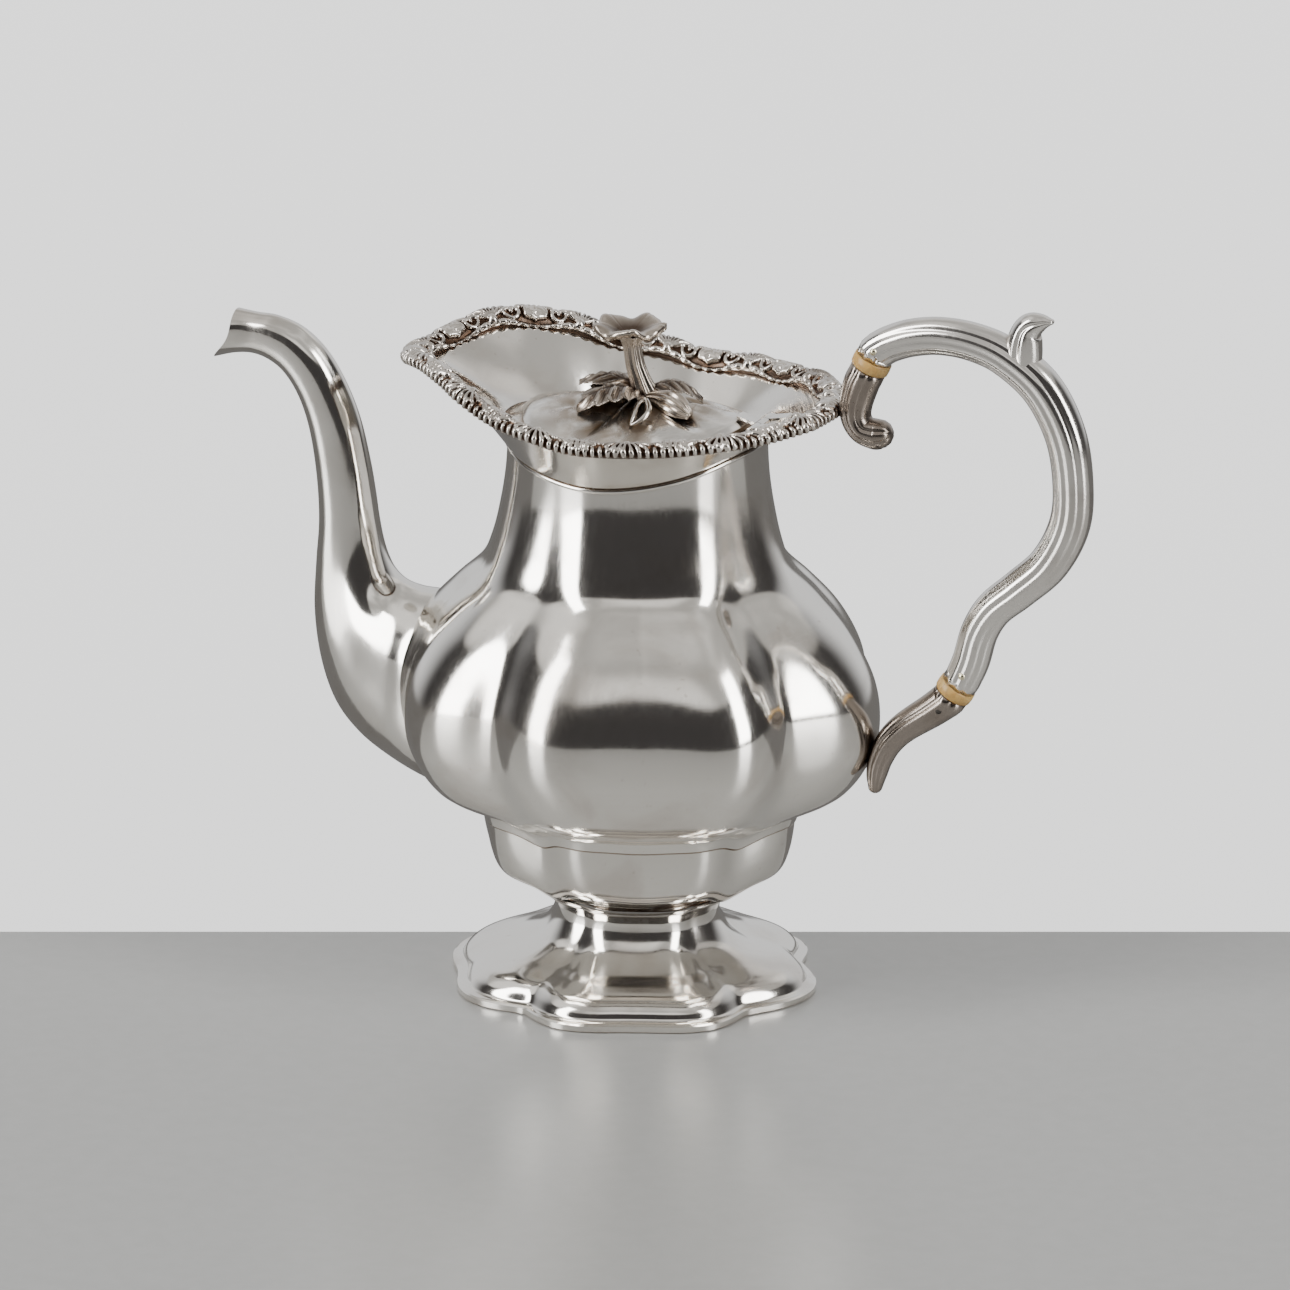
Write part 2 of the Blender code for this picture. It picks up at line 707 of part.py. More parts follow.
def make_handle():
    upper_end = from_joint(UPPER_JOINT, 1)
    lower_end = from_joint(LOWER_JOINT, 1)
    grip_line = smooth_line([upper_end[1], *GRIP_LINE, lower_end[1]], 2)
    grip_line = [upper_end[0], *grip_line, lower_end[0]]
    grip = tube("handle_grip", upright(grip_line))
    upper_start = from_joint(UPPER_JOINT, -1)
    upper_line = upper_start[:1] + smooth_line([upper_start[1], *UPPER_SOCKET_LINE], 2)
    volute_centre = (VOLUTE_CENTRE[0], 0, VOLUTE_CENTRE[1])
    volute = rod("volute", volute_centre, (0, 1, 0), VOLUTE_R, VOLUTE_WIDTH, sides=20)
    upper = changed(tube("upper_socket", upright(upper_line)), volute, "UNION")
    lower_start = from_joint(LOWER_JOINT, -1)
    lower_line = lower_start[:1] + smooth_line([lower_start[1], *LOWER_SOCKET_LINE], 2)
    lower = changed(tube("lower_socket", upright(lower_line)), body_room())

    sockets = {"upper": upper, "lower": lower}
    for place, joint in (("upper", UPPER_JOINT), ("lower", LOWER_JOINT)):
        insulator(place, joint)
        middle, axis = joint_axis(joint)
        tenon = rod("tenon", middle, axis, TENON_R, 2 * TENON_LENGTH)
        pocket = rod("pocket", middle, axis, TENON_R + GAP, 2 * (TENON_LENGTH + GAP), group=CUTTERS)
        sockets[place] = changed(sockets[place], pocket)
        grip = changed(grip, tenon, "UNION")
        for owner, distance in (("grip", GRIP_PINS_FROM_RINGS[place]), ("socket", -SOCKET_PIN_FROM_RING)):
            centre = middle + axis * distance
            pin = rod(f"{place}_{owner}_pin", centre, (0, 1, 0), GRIP_PIN_R, 2 * JOINT_R + 0.6, sides=12)
            finished(pin, BRASS)
            grip = changed(grip, pin_room(centre))
            if owner == "socket":
                sockets[place] = changed(sockets[place], pin_room(centre))
    thumb = tube("thumb_leaf", upright(smooth_line(THUMB_LINE, 2)), sides=10)
    space = tube("grip_room", upright([(x, z, radius + GAP) for x, z, radius in grip_line]), group=CUTTERS)
    finished(changed(thumb, space), SILVER)
    finished(grip, SILVER)
    for socket in sockets.values():
        finished(socket, SILVER)


def place_on_axes():
    """Moves every piece to the frame's origin and gives the lid's pieces the hinge's axis as their origin."""
    lid_pieces = ("lid_", "finial_", "hinge_knuckle_lid")
    hinge = bpy.data.objects.new("lid_hinge_axis", None)
    hinge.location = ((AXIS_X + HINGE_X) * MM, 0, HINGE_Z * MM)
    PARTS.objects.link(hinge)
    for obj in PARTS.objects:
        if obj == hinge:
            continue
        moves = obj.name.startswith(lid_pieces) and obj.name != "lid_seat"
        base = Vector((HINGE_X, 0, HINGE_Z)) if moves else Vector((-AXIS_X, 0, 0))
        for vertex in obj.data.vertices:
            vertex.co -= base * MM
        if moves:
            obj.parent = hinge


def main():
    make_body()
    make_foot()
    make_mouth()
    make_lid()
    make_hinge()
    make_finial()
    make_spout()
    make_handle()
    place_on_axes()


main()
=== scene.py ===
"""Looks for the lobed silver coffee pot: its visible surfaces, their materials, the table, light and camera.

Lengths in the tables below are millimetres from the pot's upright axis and from the table, as in the CAD.
"""

import math

import bmesh
import bpy
import numpy as np
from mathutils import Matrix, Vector


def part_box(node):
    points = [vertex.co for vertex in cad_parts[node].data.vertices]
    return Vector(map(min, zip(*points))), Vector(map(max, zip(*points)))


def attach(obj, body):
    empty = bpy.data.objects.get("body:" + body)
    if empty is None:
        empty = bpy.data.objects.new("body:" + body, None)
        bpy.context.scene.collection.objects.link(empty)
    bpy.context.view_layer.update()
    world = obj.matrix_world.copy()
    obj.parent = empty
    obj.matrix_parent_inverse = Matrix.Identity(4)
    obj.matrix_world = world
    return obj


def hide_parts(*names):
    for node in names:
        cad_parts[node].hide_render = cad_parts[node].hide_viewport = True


MM = 0.001
COLUMNS = 288

OVAL = 0.93
FOOT_OVAL = 0.96
VALLEYS = (28.0, 69.0, 109.0, 154.0)
VALLEY_SHARES = (1.0, 0.4, 1.0, 0.6)
COLUMNS_AT_VALLEYS = (30.0, 67.5, 105.0, 150.0)
DIP = 3.0
DIP_HEIGHTS = (28.8, 36, 58, 72)
DIP_SHARES = (0, 1, 1, 0)
LOBE_HEIGHTS = (28, 40, 56, 84, 104, 122, 140, 170)
LOBE_DEPTHS = (0.05, 0.085, 0.095, 0.1, 0.09, 0.06, 0.032, 0.014)
VALLEY_SOFTNESS = 0.10

WALL = 1.2
NECK_TOP = 169.6
NECK_BAND_R = 39.9
NECK_BAND_Z = 167.6
BELLY_PROFILE = (
    (39.4, NECK_TOP),
    (40.3, 158.6),
    (42.3, 148.0),
    (44.9, 138.4),
    (48.6, 130.6),
    (57.0, 122.8),
    (65.2, 114.4),
    (71.0, 106.0),
    (74.6, 98.0),
    (76.0, 89.5),
    (75.2, 80.5),
    (71.3, 72.0),
    (66.6, 66.0),
    (62.0, 62.6),
    (58.2, 60.6),
)
COVE_PROFILE = ((57.2, 60.3), (54.2, 59.6), (51.6, 57.8), (50.2, 54.5))
BOWL_PROFILE = ((49.7, 53.9), (49.1, 49.5), (48.2, 45.2), (46.6, 40.6), (44.6, 37.8), (41.8, 36.0))
BASE_COVE_PROFILE = ((40.9, 35.7), (35.6, 34.4), (31.4, 32.4), (28.6, 30.2), (27.7, 28.7))
FOOT_PROFILE = (
    (26.4, 27.2),
    (25.6, 23.6),
    (26.6, 19.6),
    (30.4, 15.0),
    (36.6, 11.7),
    (43.4, 9.8),
    (49.4, 8.1),
    (52.9, 5.7),
    (54.4, 3.2),
)
FOOT_RIM_PROFILE = (
    (54.8, 2.9),
    (55.7, 2.5),
    (57.0, 2.5),
    (57.6, 2.1),
    (57.6, 0.4),
    (57.1, 0.0),
    (51.8, 0.0),
)
FOOT_UNDER_PROFILE = (
    (51.2, 1.6),
    (47.0, 5.2),
    (40.0, 8.2),
    (33.0, 11.6),
    (26.0, 17.6),
    (24.4, 23.0),
    (25.0, 26.9),
)
FOOT_WIRE_R = 27.7
FOOT_WIRE_Z = 27.9
FOOT_TOP = 27.0
FOOT_SHIFT = -1.3

SADDLE = 4.4
SADDLE_FROM = 140.0
THROAT_R = 41.2
THROAT_Z = 170.4
SEAT_INNER = 33.0
SEAT_Z = 171.2
BEZEL_R = 31.6
BEZEL_DEPTH = 4.6
COLLAR_ANGLES = (0, 30, 60, 90, 120, 135, 149, 165, 180)
COLLAR_HEIGHTS = (184.6, 182.4, 180.8, 180.2, 186.0, 191.4, 194.6, 192.0, 188.4)
COLLAR_RADII = (61.4, 58.0, 54.8, 53.6, 56.0, 58.2, 62.2, 67.6, 71.0)
COLLAR_WALL = 0.9
BORDER_UNITS = 13
BORDER_WIDTH = 13.2
BORDER_HALF_OUT = 3.5
BORDER_HALF_UP = 2.3

LID_R = 34.8
LID_EDGE_Z = 173.4
LID_RISE = 9.2

FINIAL_X = -2.0
FLOWER_Z = 199.6

SPOUT_SECTIONS = (
    ((-58.0, 113.8), (-50.0, 50.4), 25.0),
    ((-67.0, 114.4), (-66.0, 55.2), 23.5),
    ((-72.4, 114.8), (-78.0, 60.0), 20.6),
    ((-77.4, 116.4), (-89.0, 66.4), 17.6),
    ((-80.8, 119.6), (-97.6, 75.4), 14.8),
    ((-82.8, 124.0), (-103.0, 88.4), 12.4),
    ((-84.2, 129.4), (-105.4, 104.0), 10.6),
    ((-85.4, 136.0), (-104.8, 119.6), 9.6),
    ((-86.4, 143.0), (-103.7, 133.4), 9.0),
    ((-88.0, 152.4), (-104.4, 147.6), 8.4),
    ((-91.0, 165.0), (-106.6, 161.4), 7.8),
    ((-95.4, 175.8), (-110.0, 171.2), 7.3),
    ((-101.4, 185.4), (-114.6, 178.0), 6.9),
    ((-109.0, 192.0), (-119.6, 181.6), 6.5),
    ((-117.5, 195.0), (-125.2, 183.2), 6.2),
    ((-124.6, 195.4), (-131.2, 182.8), 6.0),
    ((-131.0, 196.0), (-137.0, 181.2), 6.4),
)

GRIP_LINE = (
    (80.2, 206.9, 5.4),
    (87.0, 209.4, 5.5),
    (95.6, 210.7, 5.5),
    (105.7, 209.9, 5.6),
    (115.9, 206.4, 5.8),
    (127.1, 197.9, 6.1),
    (134.5, 184.4, 6.0),
    (137.0, 169.2, 5.9),
    (135.9, 157.0, 6.0),
    (130.0, 145.2, 5.9),
    (121.0, 136.4, 5.8),
    (113.2, 129.4, 5.6),
    (108.8, 122.0, 5.5),
    (106.2, 112.8, 5.5),
)
UPPER_SOCKET_LINE = (
    (70.8, 193.6, 5.4, 5.4),
    (69.2, 187.6, 5.0, 5.2),
    (69.4, 183.0, 4.5, 5.0),
    (71.6, 179.8, 4.3, 5.0),
    (75.2, 178.8, 4.6, 4.9),
    (76.4, 178.9, 4.5, 4.8),
)
LOWER_SOCKET_LINE = (
    (94.0, 95.6, 5.1, 5.2),
    (85.6, 89.4, 4.6, 4.9),
    (80.8, 84.2, 4.2, 4.7),
    (78.0, 78.6, 3.7, 4.3),
    (76.8, 73.6, 3.1, 3.7),
    (76.4, 69.8, 2.2, 2.6),
)
UPPER_JOINT = (74.0, 200.4, 64.5)
LOWER_JOINT = (101.4, 103.2, 57.0)
JOINT_R = 5.4
RING_R = 5.75
RING_THICK = 3.6
PIN_R = 1.15
THUMB_LINE = (
    (121.0, 203.6, 5.4, 4.8),
    (121.1, 208.0, 5.6, 5.2),
    (121.4, 211.6, 5.3, 5.2),
    (122.2, 215.0, 4.5, 4.8),
    (124.0, 216.9, 3.9, 4.3),
    (126.7, 218.0, 2.5, 3.3),
    (129.4, 218.4, 0.9, 1.6),
)

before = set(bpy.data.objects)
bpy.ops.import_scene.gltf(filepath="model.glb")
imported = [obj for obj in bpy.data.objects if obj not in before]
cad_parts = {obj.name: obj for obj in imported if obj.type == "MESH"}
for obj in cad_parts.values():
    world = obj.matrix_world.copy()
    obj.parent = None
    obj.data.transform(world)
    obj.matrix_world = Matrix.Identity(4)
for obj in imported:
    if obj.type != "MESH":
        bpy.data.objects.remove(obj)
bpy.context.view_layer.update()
foot_low, foot_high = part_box("foot_band")
AXIS_X = (foot_low[0] + foot_high[0]) / 2 / MM - FOOT_SHIFT


# Curves


def smooth_line(points, steps):
    """Points along a Catmull-Rom curve through the given ones, with this many steps to a span."""
    knots = [np.array(point, float) for point in points]
    knots = [2 * knots[0] - knots[1], *knots, 2 * knots[-1] - knots[-2]]
    line = []
    for a, b, c, d in zip(knots, knots[1:], knots[2:], knots[3:]):
        for step in range(steps):
            t = step / steps
            bend = (2 * a - 5 * b + 4 * c - d) * t**2 + (3 * b - a - 3 * c + d) * t**3
            line.append((2 * b + (c - a) * t + bend) / 2)
    line.append(knots[-2])
    return np.array(line)


def bump_at(value, centre, width):
    return math.exp(-(((value - centre) / width) ** 2))


# Lobes and slopes


def lobed(angle, depth, shape=0.85):
    """Share of the radius left at an angle in radians: 1 on a lobe's crown, 1 - depth in a full valley.

    A shape below 1 makes full lobes with sharp valleys, and 2 makes an even wave.
    """
    degrees = abs(math.degrees(angle))
    stops = (-VALLEYS[0], *VALLEYS, 360 - VALLEYS[-1])
    shares = (VALLEY_SHARES[0], *VALLEY_SHARES, VALLEY_SHARES[-1])
    for low, high, share_low, share_high in zip(stops, stops[1:], shares, shares[1:]):
        if low <= degrees <= high:
            along = (degrees - low) / (high - low)
            rise = math.sqrt(math.sin(math.pi * along) ** 2 + VALLEY_SOFTNESS**2) - VALLEY_SOFTNESS
            crown = (rise / (math.sqrt(1 + VALLEY_SOFTNESS**2) - VALLEY_SOFTNESS)) ** shape
            return 1 - depth * (share_low + (share_high - share_low) * along) * (1 - crown)
    return 1


def on_valleys(angle):
    """Moves evenly spaced columns so that one runs down each valley."""
    at = np.interp(abs(math.degrees(angle)), (0, *COLUMNS_AT_VALLEYS, 180), (0, *VALLEYS, 180))
    return math.copysign(math.radians(at), angle)


ANGLES = [on_valleys(math.radians(360 * k / COLUMNS - 180)) for k in range(COLUMNS)]


def saddle(angle, radius):
    return SADDLE * math.cos(2 * angle) * min(1, (radius / SEAT_INNER) ** 2)


def body_lobe(angle, height):
    depth = float(np.interp(height, LOBE_HEIGHTS, LOBE_DEPTHS))
    return lobed(angle, depth, float(np.interp(height, (60, 100, 140), (1.7, 1.4, 1.6))))


def body_point(angle, radius, height):
    reach = radius * body_lobe(angle, height)
    share = min(1, max(0, (height - SADDLE_FROM) / (NECK_TOP - SADDLE_FROM)))
    rise = saddle(angle, radius) * share**2
    rise -= DIP * (1 - lobed(angle, 1, 1.6)) ** 2 * float(np.interp(height, DIP_HEIGHTS, DIP_SHARES))
    return reach * math.cos(angle), reach * math.sin(angle) * OVAL, height + rise


def foot_point(angle, radius, height):
    depth = float(np.interp(radius, (26, 38, 52), (0.04, 0.09, 0.1)))
    reach = radius * lobed(angle, depth, 1.3)
    shift = FOOT_SHIFT * min(1, max(0, (FOOT_TOP - height) / FOOT_TOP))
    return shift + reach * math.cos(angle), reach * math.sin(angle) * FOOT_OVAL, height


def mouth_point(angle, radius, height):
    reach = radius * lobed(angle, LOBE_DEPTHS[-1], 1.6)
    return reach * math.cos(angle), reach * math.sin(angle) * OVAL, height + saddle(angle, radius)


def collar_edge(angle):
    degrees = abs(math.degrees(angle))
    radius = float(np.interp(degrees, COLLAR_SAMPLES, COLLAR_RADIUS_CURVE))
    height = float(np.interp(degrees, COLLAR_SAMPLES, COLLAR_HEIGHT_CURVE))
    return np.array((radius * math.cos(angle), radius * math.sin(angle), height))


def rounded_curve(values):
    """The collar's table, smoothed and read off at every two degrees."""
    degrees = (-30, *COLLAR_ANGLES, 195)
    spread = np.interp(np.arange(-40, 221, 1), degrees, (values[1], *values, values[-2]))
    kernel = np.hanning(23)
    spread = np.convolve(spread, kernel / kernel.sum(), mode="same")
    return spread[40:221:2]


COLLAR_SAMPLES = np.arange(0, 181, 2)
COLLAR_RADIUS_CURVE = rounded_curve(COLLAR_RADII)
COLLAR_HEIGHT_CURVE = rounded_curve(COLLAR_HEIGHTS)


def dish_point(angle, share):
    """A point of the collar's dish: share 0 is the throat's edge and 1 is under the border."""
    low = np.array(mouth_point(angle, THROAT_R, THROAT_Z))
    rim = collar_edge(angle)
    inward = rim.copy()
    inward[2] = 0
    rim = rim - inward / np.linalg.norm(inward) * 1.0
    flare = share - 0.04 * math.sin(math.pi * share)
    return low + (rim - low) * np.array((flare, flare, share))


# Meshes


def surface(name, rows, close_rows=False, cap_start=False, cap_end=False, sharp=50, hollow=None):
    """A skin over a grid of points in millimetres, each row a closed ring.

    Hollow holds 1 for the points to darken: deep points where silver tarnishes, and painted shade, as round
    the lid's edge and on its seat.
    """
    rows = [[(x + AXIS_X, y, z) for x, y, z in row] for row in rows]
    count = len(rows)
    width = len(rows[0])
    verts = [tuple(c * MM for c in point) for row in rows for point in row]
    faces = []
    for i in range(count if close_rows else count - 1):
        j = (i + 1) % count
        for k in range(width):
            m = (k + 1) % width
            faces.append((i * width + k, i * width + m, j * width + m, j * width + k))
    if cap_start:
        faces.append(tuple(range(width)))
    if cap_end:
        faces.append(tuple((count - 1) * width + k for k in reversed(range(width))))
    mesh = bpy.data.meshes.new(name)
    mesh.from_pydata(verts, [], faces)
    if hollow is not None:
        layer = mesh.attributes.new("hollow", "FLOAT", "POINT")
        layer.data.foreach_set("value", np.array(hollow, dtype=np.float32).ravel())
    work = bmesh.new()
    work.from_mesh(mesh)
    bmesh.ops.remove_doubles(work, verts=work.verts, dist=2e-6)
    bmesh.ops.recalc_face_normals(work, faces=work.faces)
    work.to_mesh(mesh)
    work.free()
    mesh.shade_smooth()
    mesh.set_sharp_from_angle(angle=math.radians(sharp))
    obj = bpy.data.objects.new(name, mesh)
    bpy.context.scene.collection.objects.link(obj)
    return obj


def lathe(name, profile, place, closed=False, sharp=50, deep=None):
    rows = [[place(angle, radius, height) for angle in ANGLES] for radius, height in profile]
    # deep gives each profile point its darkening: tarnish in hollows, and painted shade where a caller marks
    # shade.
    hollow = [[deep(*spot)] * COLUMNS for spot in profile] if deep else None
    return surface(name, rows, close_rows=closed, sharp=sharp, hollow=hollow)


def dense(*profiles, steps=6):
    """Smooth pieces of profile laid end to end, with a crease where they meet."""
    points = []
    for profile in profiles:
        points += [tuple(p) for p in smooth_line(profile, steps)]
    return points


def frames_along(line):
    """Unit tangents and in-plane normals of a line of (x, height, ...) points."""
    flat = np.array(line)[:, :2]
    tangent = np.gradient(flat, axis=0)
    tangent /= np.linalg.norm(tangent, axis=1)[:, None]
    normal = np.stack([-tangent[:, 1], tangent[:, 0]], axis=1)
    return tangent, normal


def sweep(name, line, section=None, columns=64, round_end=False, sharp=60):
    """A bar along (x, height, half thickness, half width) points in the handle's plane."""
    line = np.array(line)
    tangent, normal = frames_along(line)
    rows = []

    def ring(i, shrink=1.0, ahead=0.0):
        x, z, thick, wide = line[i]
        points = []
        for k in range(columns):
            turn = 2 * math.pi * k / columns
            scale = section(turn, i / (len(line) - 1)) if section else 1.0
            across = thick * math.cos(turn) * scale * shrink
            points.append(
                (
                    x + normal[i][0] * across + tangent[i][0] * ahead,
                    wide * math.sin(turn) * scale * shrink,
                    z + normal[i][1] * across + tangent[i][1] * ahead,
                )
            )
        return points

    rows += [ring(i) for i in range(len(line))]
    if round_end:
        for shrink, ahead in ((0.9, 0.42), (0.7, 0.72), (0.4, 0.92), (0.02, 1.0)):
            rows.append(ring(len(line) - 1, shrink, line[-1][2] * ahead))
    return surface(name, rows, cap_start=True, cap_end=True, sharp=sharp)


def joint_axis(joint):
    x, z, tilt = joint
    return np.array((x, z)), np.array((math.cos(math.radians(tilt)), math.sin(math.radians(tilt))))


# Node materials


class Nodes:
    """Short calls for building a node tree."""

    def __init__(self, tree):
        self.tree = tree
        tree.nodes.clear()

    def add(self, kind, **settings):
        node = self.tree.nodes.new(kind)
        for key, value in settings.items():
            setattr(node, key, value)
        return node

    def put(self, value, socket):
        if isinstance(value, bpy.types.NodeSocket):
            self.tree.links.new(value, socket)
        else:
            socket.default_value = value

    def math(self, operation, *values, clamp=False):
        node = self.add("ShaderNodeMath", operation=operation, use_clamp=clamp)
        for value, socket in zip(values, node.inputs):
            self.put(value, socket)
        return node.outputs[0]

    def mix(self, factor, a, b):
        node = self.add("ShaderNodeMix", data_type="RGBA")
        self.put(factor, node.inputs["Factor"])
        for value, socket in ((a, node.inputs[6]), (b, node.inputs[7])):
            self.put((*value, 1) if isinstance(value, tuple) else value, socket)
        return node.outputs[2]

    def noise(self, scale, detail=3.0, stretch=(1, 1, 1), distortion=0.0):
        place = self.add("ShaderNodeTexCoord").outputs["Object"]
        spread = self.add("ShaderNodeMapping")
        self.put(place, spread.inputs["Vector"])
        self.put(stretch, spread.inputs["Scale"])
        node = self.add("ShaderNodeTexNoise")
        self.put(spread.outputs[0], node.inputs["Vector"])
        self.put(scale, node.inputs["Scale"])
        self.put(detail, node.inputs["Detail"])
        self.put(distortion, node.inputs["Distortion"])
        return node.outputs["Fac"]

    def ramp(self, value, low, high, start=0.0, end=1.0):
        node = self.add("ShaderNodeMapRange", interpolation_type="SMOOTHSTEP")
        for socket, item in zip(node.inputs, (value, low, high, start, end)):
            self.put(item, socket)
        return node.outputs[0]

    def scaled(self, value, share):
        return self.math("MULTIPLY", value, share)

    def sum(self, *values):
        return self.math("ADD", *values, clamp=True)


def new_material(name):
    material = bpy.data.materials.new(name)
    material.use_nodes = True
    return material, Nodes(material.node_tree)


def silver(name, tarnish, recess_mm, rough, bright, dark, dents=0.3, stain=0.0):
    """Polished silver that darkens and browns in its recesses and in faint clouds, and darkens with painted
    shade where a mesh marks it so.

    Stain is the radius, in millimetres, of brown blotches round the foot of the finial.
    """
    material, n = new_material(name)
    shader = n.add("ShaderNodeBsdfPrincipled")
    out = n.add("ShaderNodeOutputMaterial")
    hollow = n.add("ShaderNodeAmbientOcclusion", samples=8, only_local=False)
    n.put(recess_mm * MM, hollow.inputs["Distance"])
    recess = n.ramp(hollow.outputs["AO"], 0.35, 0.85, 1.0, 0.0)
    clouds = n.ramp(n.noise(38, 5, distortion=0.6), 0.46, 0.74)
    specks = n.ramp(n.noise(520, 2), 0.66, 0.80)
    mask = n.sum(n.scaled(recess, 0.35 + 0.65 * tarnish), n.scaled(clouds, 0.16 + 0.28 * tarnish))
    mask = n.sum(mask, n.scaled(specks, 0.10 + 0.2 * tarnish))
    # The hollow attribute adds tarnish in deep points and painted shade, as round the lid's edge and seat.
    hollow_tarnish_and_painted_shade = n.add("ShaderNodeAttribute", attribute_name="hollow").outputs["Fac"]
    mask = n.sum(mask, n.scaled(hollow_tarnish_and_painted_shade, 0.92))
    if stain:
        place = n.add("ShaderNodeTexCoord").outputs["Object"]
        away = n.add("ShaderNodeVectorMath", operation="DISTANCE")
        n.put(place, away.inputs[0])
        n.put((AXIS_X * MM, 0.0, 0.18), away.inputs[1])
        near = n.ramp(away.outputs["Value"], 0.35 * stain * MM, stain * MM, 1.0, 0.0)
        blotch = n.ramp(n.noise(110, 4, distortion=0.8), 0.30, 0.62)
        mask = n.sum(mask, n.scaled(n.scaled(near, blotch), 0.9))
    n.put(n.mix(mask, bright, dark), shader.inputs["Base Color"])
    n.put(1.0, shader.inputs["Metallic"])
    wear = n.noise(900, 3, stretch=(1, 1, 0.12))
    fine = n.math("ADD", n.scaled(wear, 0.10), rough - 0.05)
    n.put(n.math("ADD", fine, n.scaled(mask, 0.22)), shader.inputs["Roughness"])
    bump = n.add("ShaderNodeBump")
    hair = n.noise(1500, 2, stretch=(0.25, 0.25, 1))
    scratches = n.scaled(n.math("ADD", wear, hair), 0.012)
    n.put(n.math("ADD", n.scaled(n.noise(55, 2), dents), scratches), bump.inputs["Height"])
    n.put(0.35, bump.inputs["Strength"])
    n.put(0.0006, bump.inputs["Distance"])
    n.put(bump.outputs[0], shader.inputs["Normal"])
    n.put(shader.outputs[0], out.inputs["Surface"])
    return material


def bone():
    material, n = new_material("bone_grained")
    shader = n.add("ShaderNodeBsdfPrincipled")
    out = n.add("ShaderNodeOutputMaterial")
    grain = n.ramp(n.noise(420, 4, stretch=(1.0, 5.0, 1.0), distortion=1.2), 0.42, 0.62)
    tint = n.ramp(n.noise(90, 2), 0.35, 0.7)
    colour = n.mix(tint, (0.66, 0.46, 0.19), (0.56, 0.34, 0.10))
    colour = n.mix(n.scaled(grain, 0.45), colour, (0.36, 0.19, 0.06))
    n.put(colour, shader.inputs["Base Color"])
    n.put(0.38, shader.inputs["Roughness"])
    n.put(0.08, shader.inputs["Subsurface Weight"])
    n.put(0.002, shader.inputs["Subsurface Scale"])
    n.put(shader.outputs[0], out.inputs["Surface"])
    return material


def metal(name, colour, rough, metallic=1.0):
    material, n = new_material(name)
    shader = n.add("ShaderNodeBsdfPrincipled")
    out = n.add("ShaderNodeOutputMaterial")
    worn = n.ramp(n.noise(700, 3), 0.4, 0.7)
    dull = tuple(channel * 0.5 for channel in colour)
    n.put(n.mix(n.scaled(worn, 0.3), colour, dull), shader.inputs["Base Color"])
    n.put(metallic, shader.inputs["Metallic"])
    n.put(rough, shader.inputs["Roughness"])
    n.put(shader.outputs[0], out.inputs["Surface"])
    return material


POLISHED = silver("silver_polished", 0.38, 1.8, 0.11, (0.90, 0.87, 0.82), (0.30, 0.21, 0.145))
LID_SILVER = silver("silver_lid", 0.3, 1.6, 0.15, (0.93, 0.91, 0.875), (0.26, 0.18, 0.11), stain=40.0)
HANDLE_SILVER = silver("silver_handled", 0.6, 2.0, 0.16, (0.84, 0.81, 0.77), (0.20, 0.135, 0.09), dents=0.15)
SOCKET_SILVER = silver("silver_socket", 0.9, 3.0, 0.20, (0.38, 0.33, 0.29), (0.10, 0.07, 0.05))
CAST = silver("silver_cast", 1.0, 1.6, 0.16, (0.76, 0.71, 0.65), (0.085, 0.05, 0.032))
DARK_CAST = silver("silver_cast_dark", 1.0, 2.4, 0.22, (0.58, 0.51, 0.44), (0.075, 0.048, 0.032))
BONE = bone()
BRASS = metal("pin_brass", (0.86, 0.80, 0.58), 0.22)
# Painted shade: a flat dark finish that stands for the shadow inside the sockets' pin holes.
PAINTED_PIN_HOLE_SHADE = metal("pin_hole_painted_shade", (0.03, 0.025, 0.02), 0.7, metallic=0.0)


def piece(obj, material, body, slot, *nodes):
    obj.data.materials.clear()
    obj.data.materials.append(material)
    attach(obj, body)
    if nodes:
        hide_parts(*nodes)
    return obj


# Body, bowl and foot


def inner_of(profile):
    return [(max(0.0, radius - WALL), height) for radius, height in reversed(profile)]


def oval_wire(name, radius, height, half_width, half_height, sides, place):
    """A ring of oval section round the pot."""
    turns = np.linspace(0, 2 * math.pi, sides + 1)[:-1]
    section = [(radius + half_width * math.cos(t), height + half_height * math.sin(t)) for t in turns]
    return lathe(name, section, place, closed=True, sharp=80)


def make_body():
    outer = dense(BELLY_PROFILE, COVE_PROFILE)
    shell = lathe("belly_skin", outer + inner_of(outer), body_point, closed=True, sharp=32)
    piece(shell, POLISHED, "pot", "silver", "belly_body")
    outer = dense(BOWL_PROFILE, BASE_COVE_PROFILE)
    floor = outer[-1][1]
    bottom = [(0.01, floor), (0.01, floor + WALL)]
    inside = [(radius, max(height + WALL, floor + WALL)) for radius, height in inner_of(outer)]
    bowl = lathe("bowl_skin", outer + bottom + inside, body_point, closed=True, sharp=32)
    piece(bowl, POLISHED, "pot", "silver", "lower_bowl")


def make_foot():
    outline = [*dense(FOOT_PROFILE), *FOOT_RIM_PROFILE, *FOOT_UNDER_PROFILE]
    foot = lathe("foot_skin", outline, foot_point, closed=True, sharp=32)
    piece(foot, POLISHED, "pot", "silver", "foot_dome", "foot_band")
    wire = oval_wire("foot_wire", FOOT_WIRE_R, FOOT_WIRE_Z, 0.6, 0.6, 8, foot_point)
    piece(wire, CAST, "pot", "silver", "foot_collet")


# Collar, border, throat


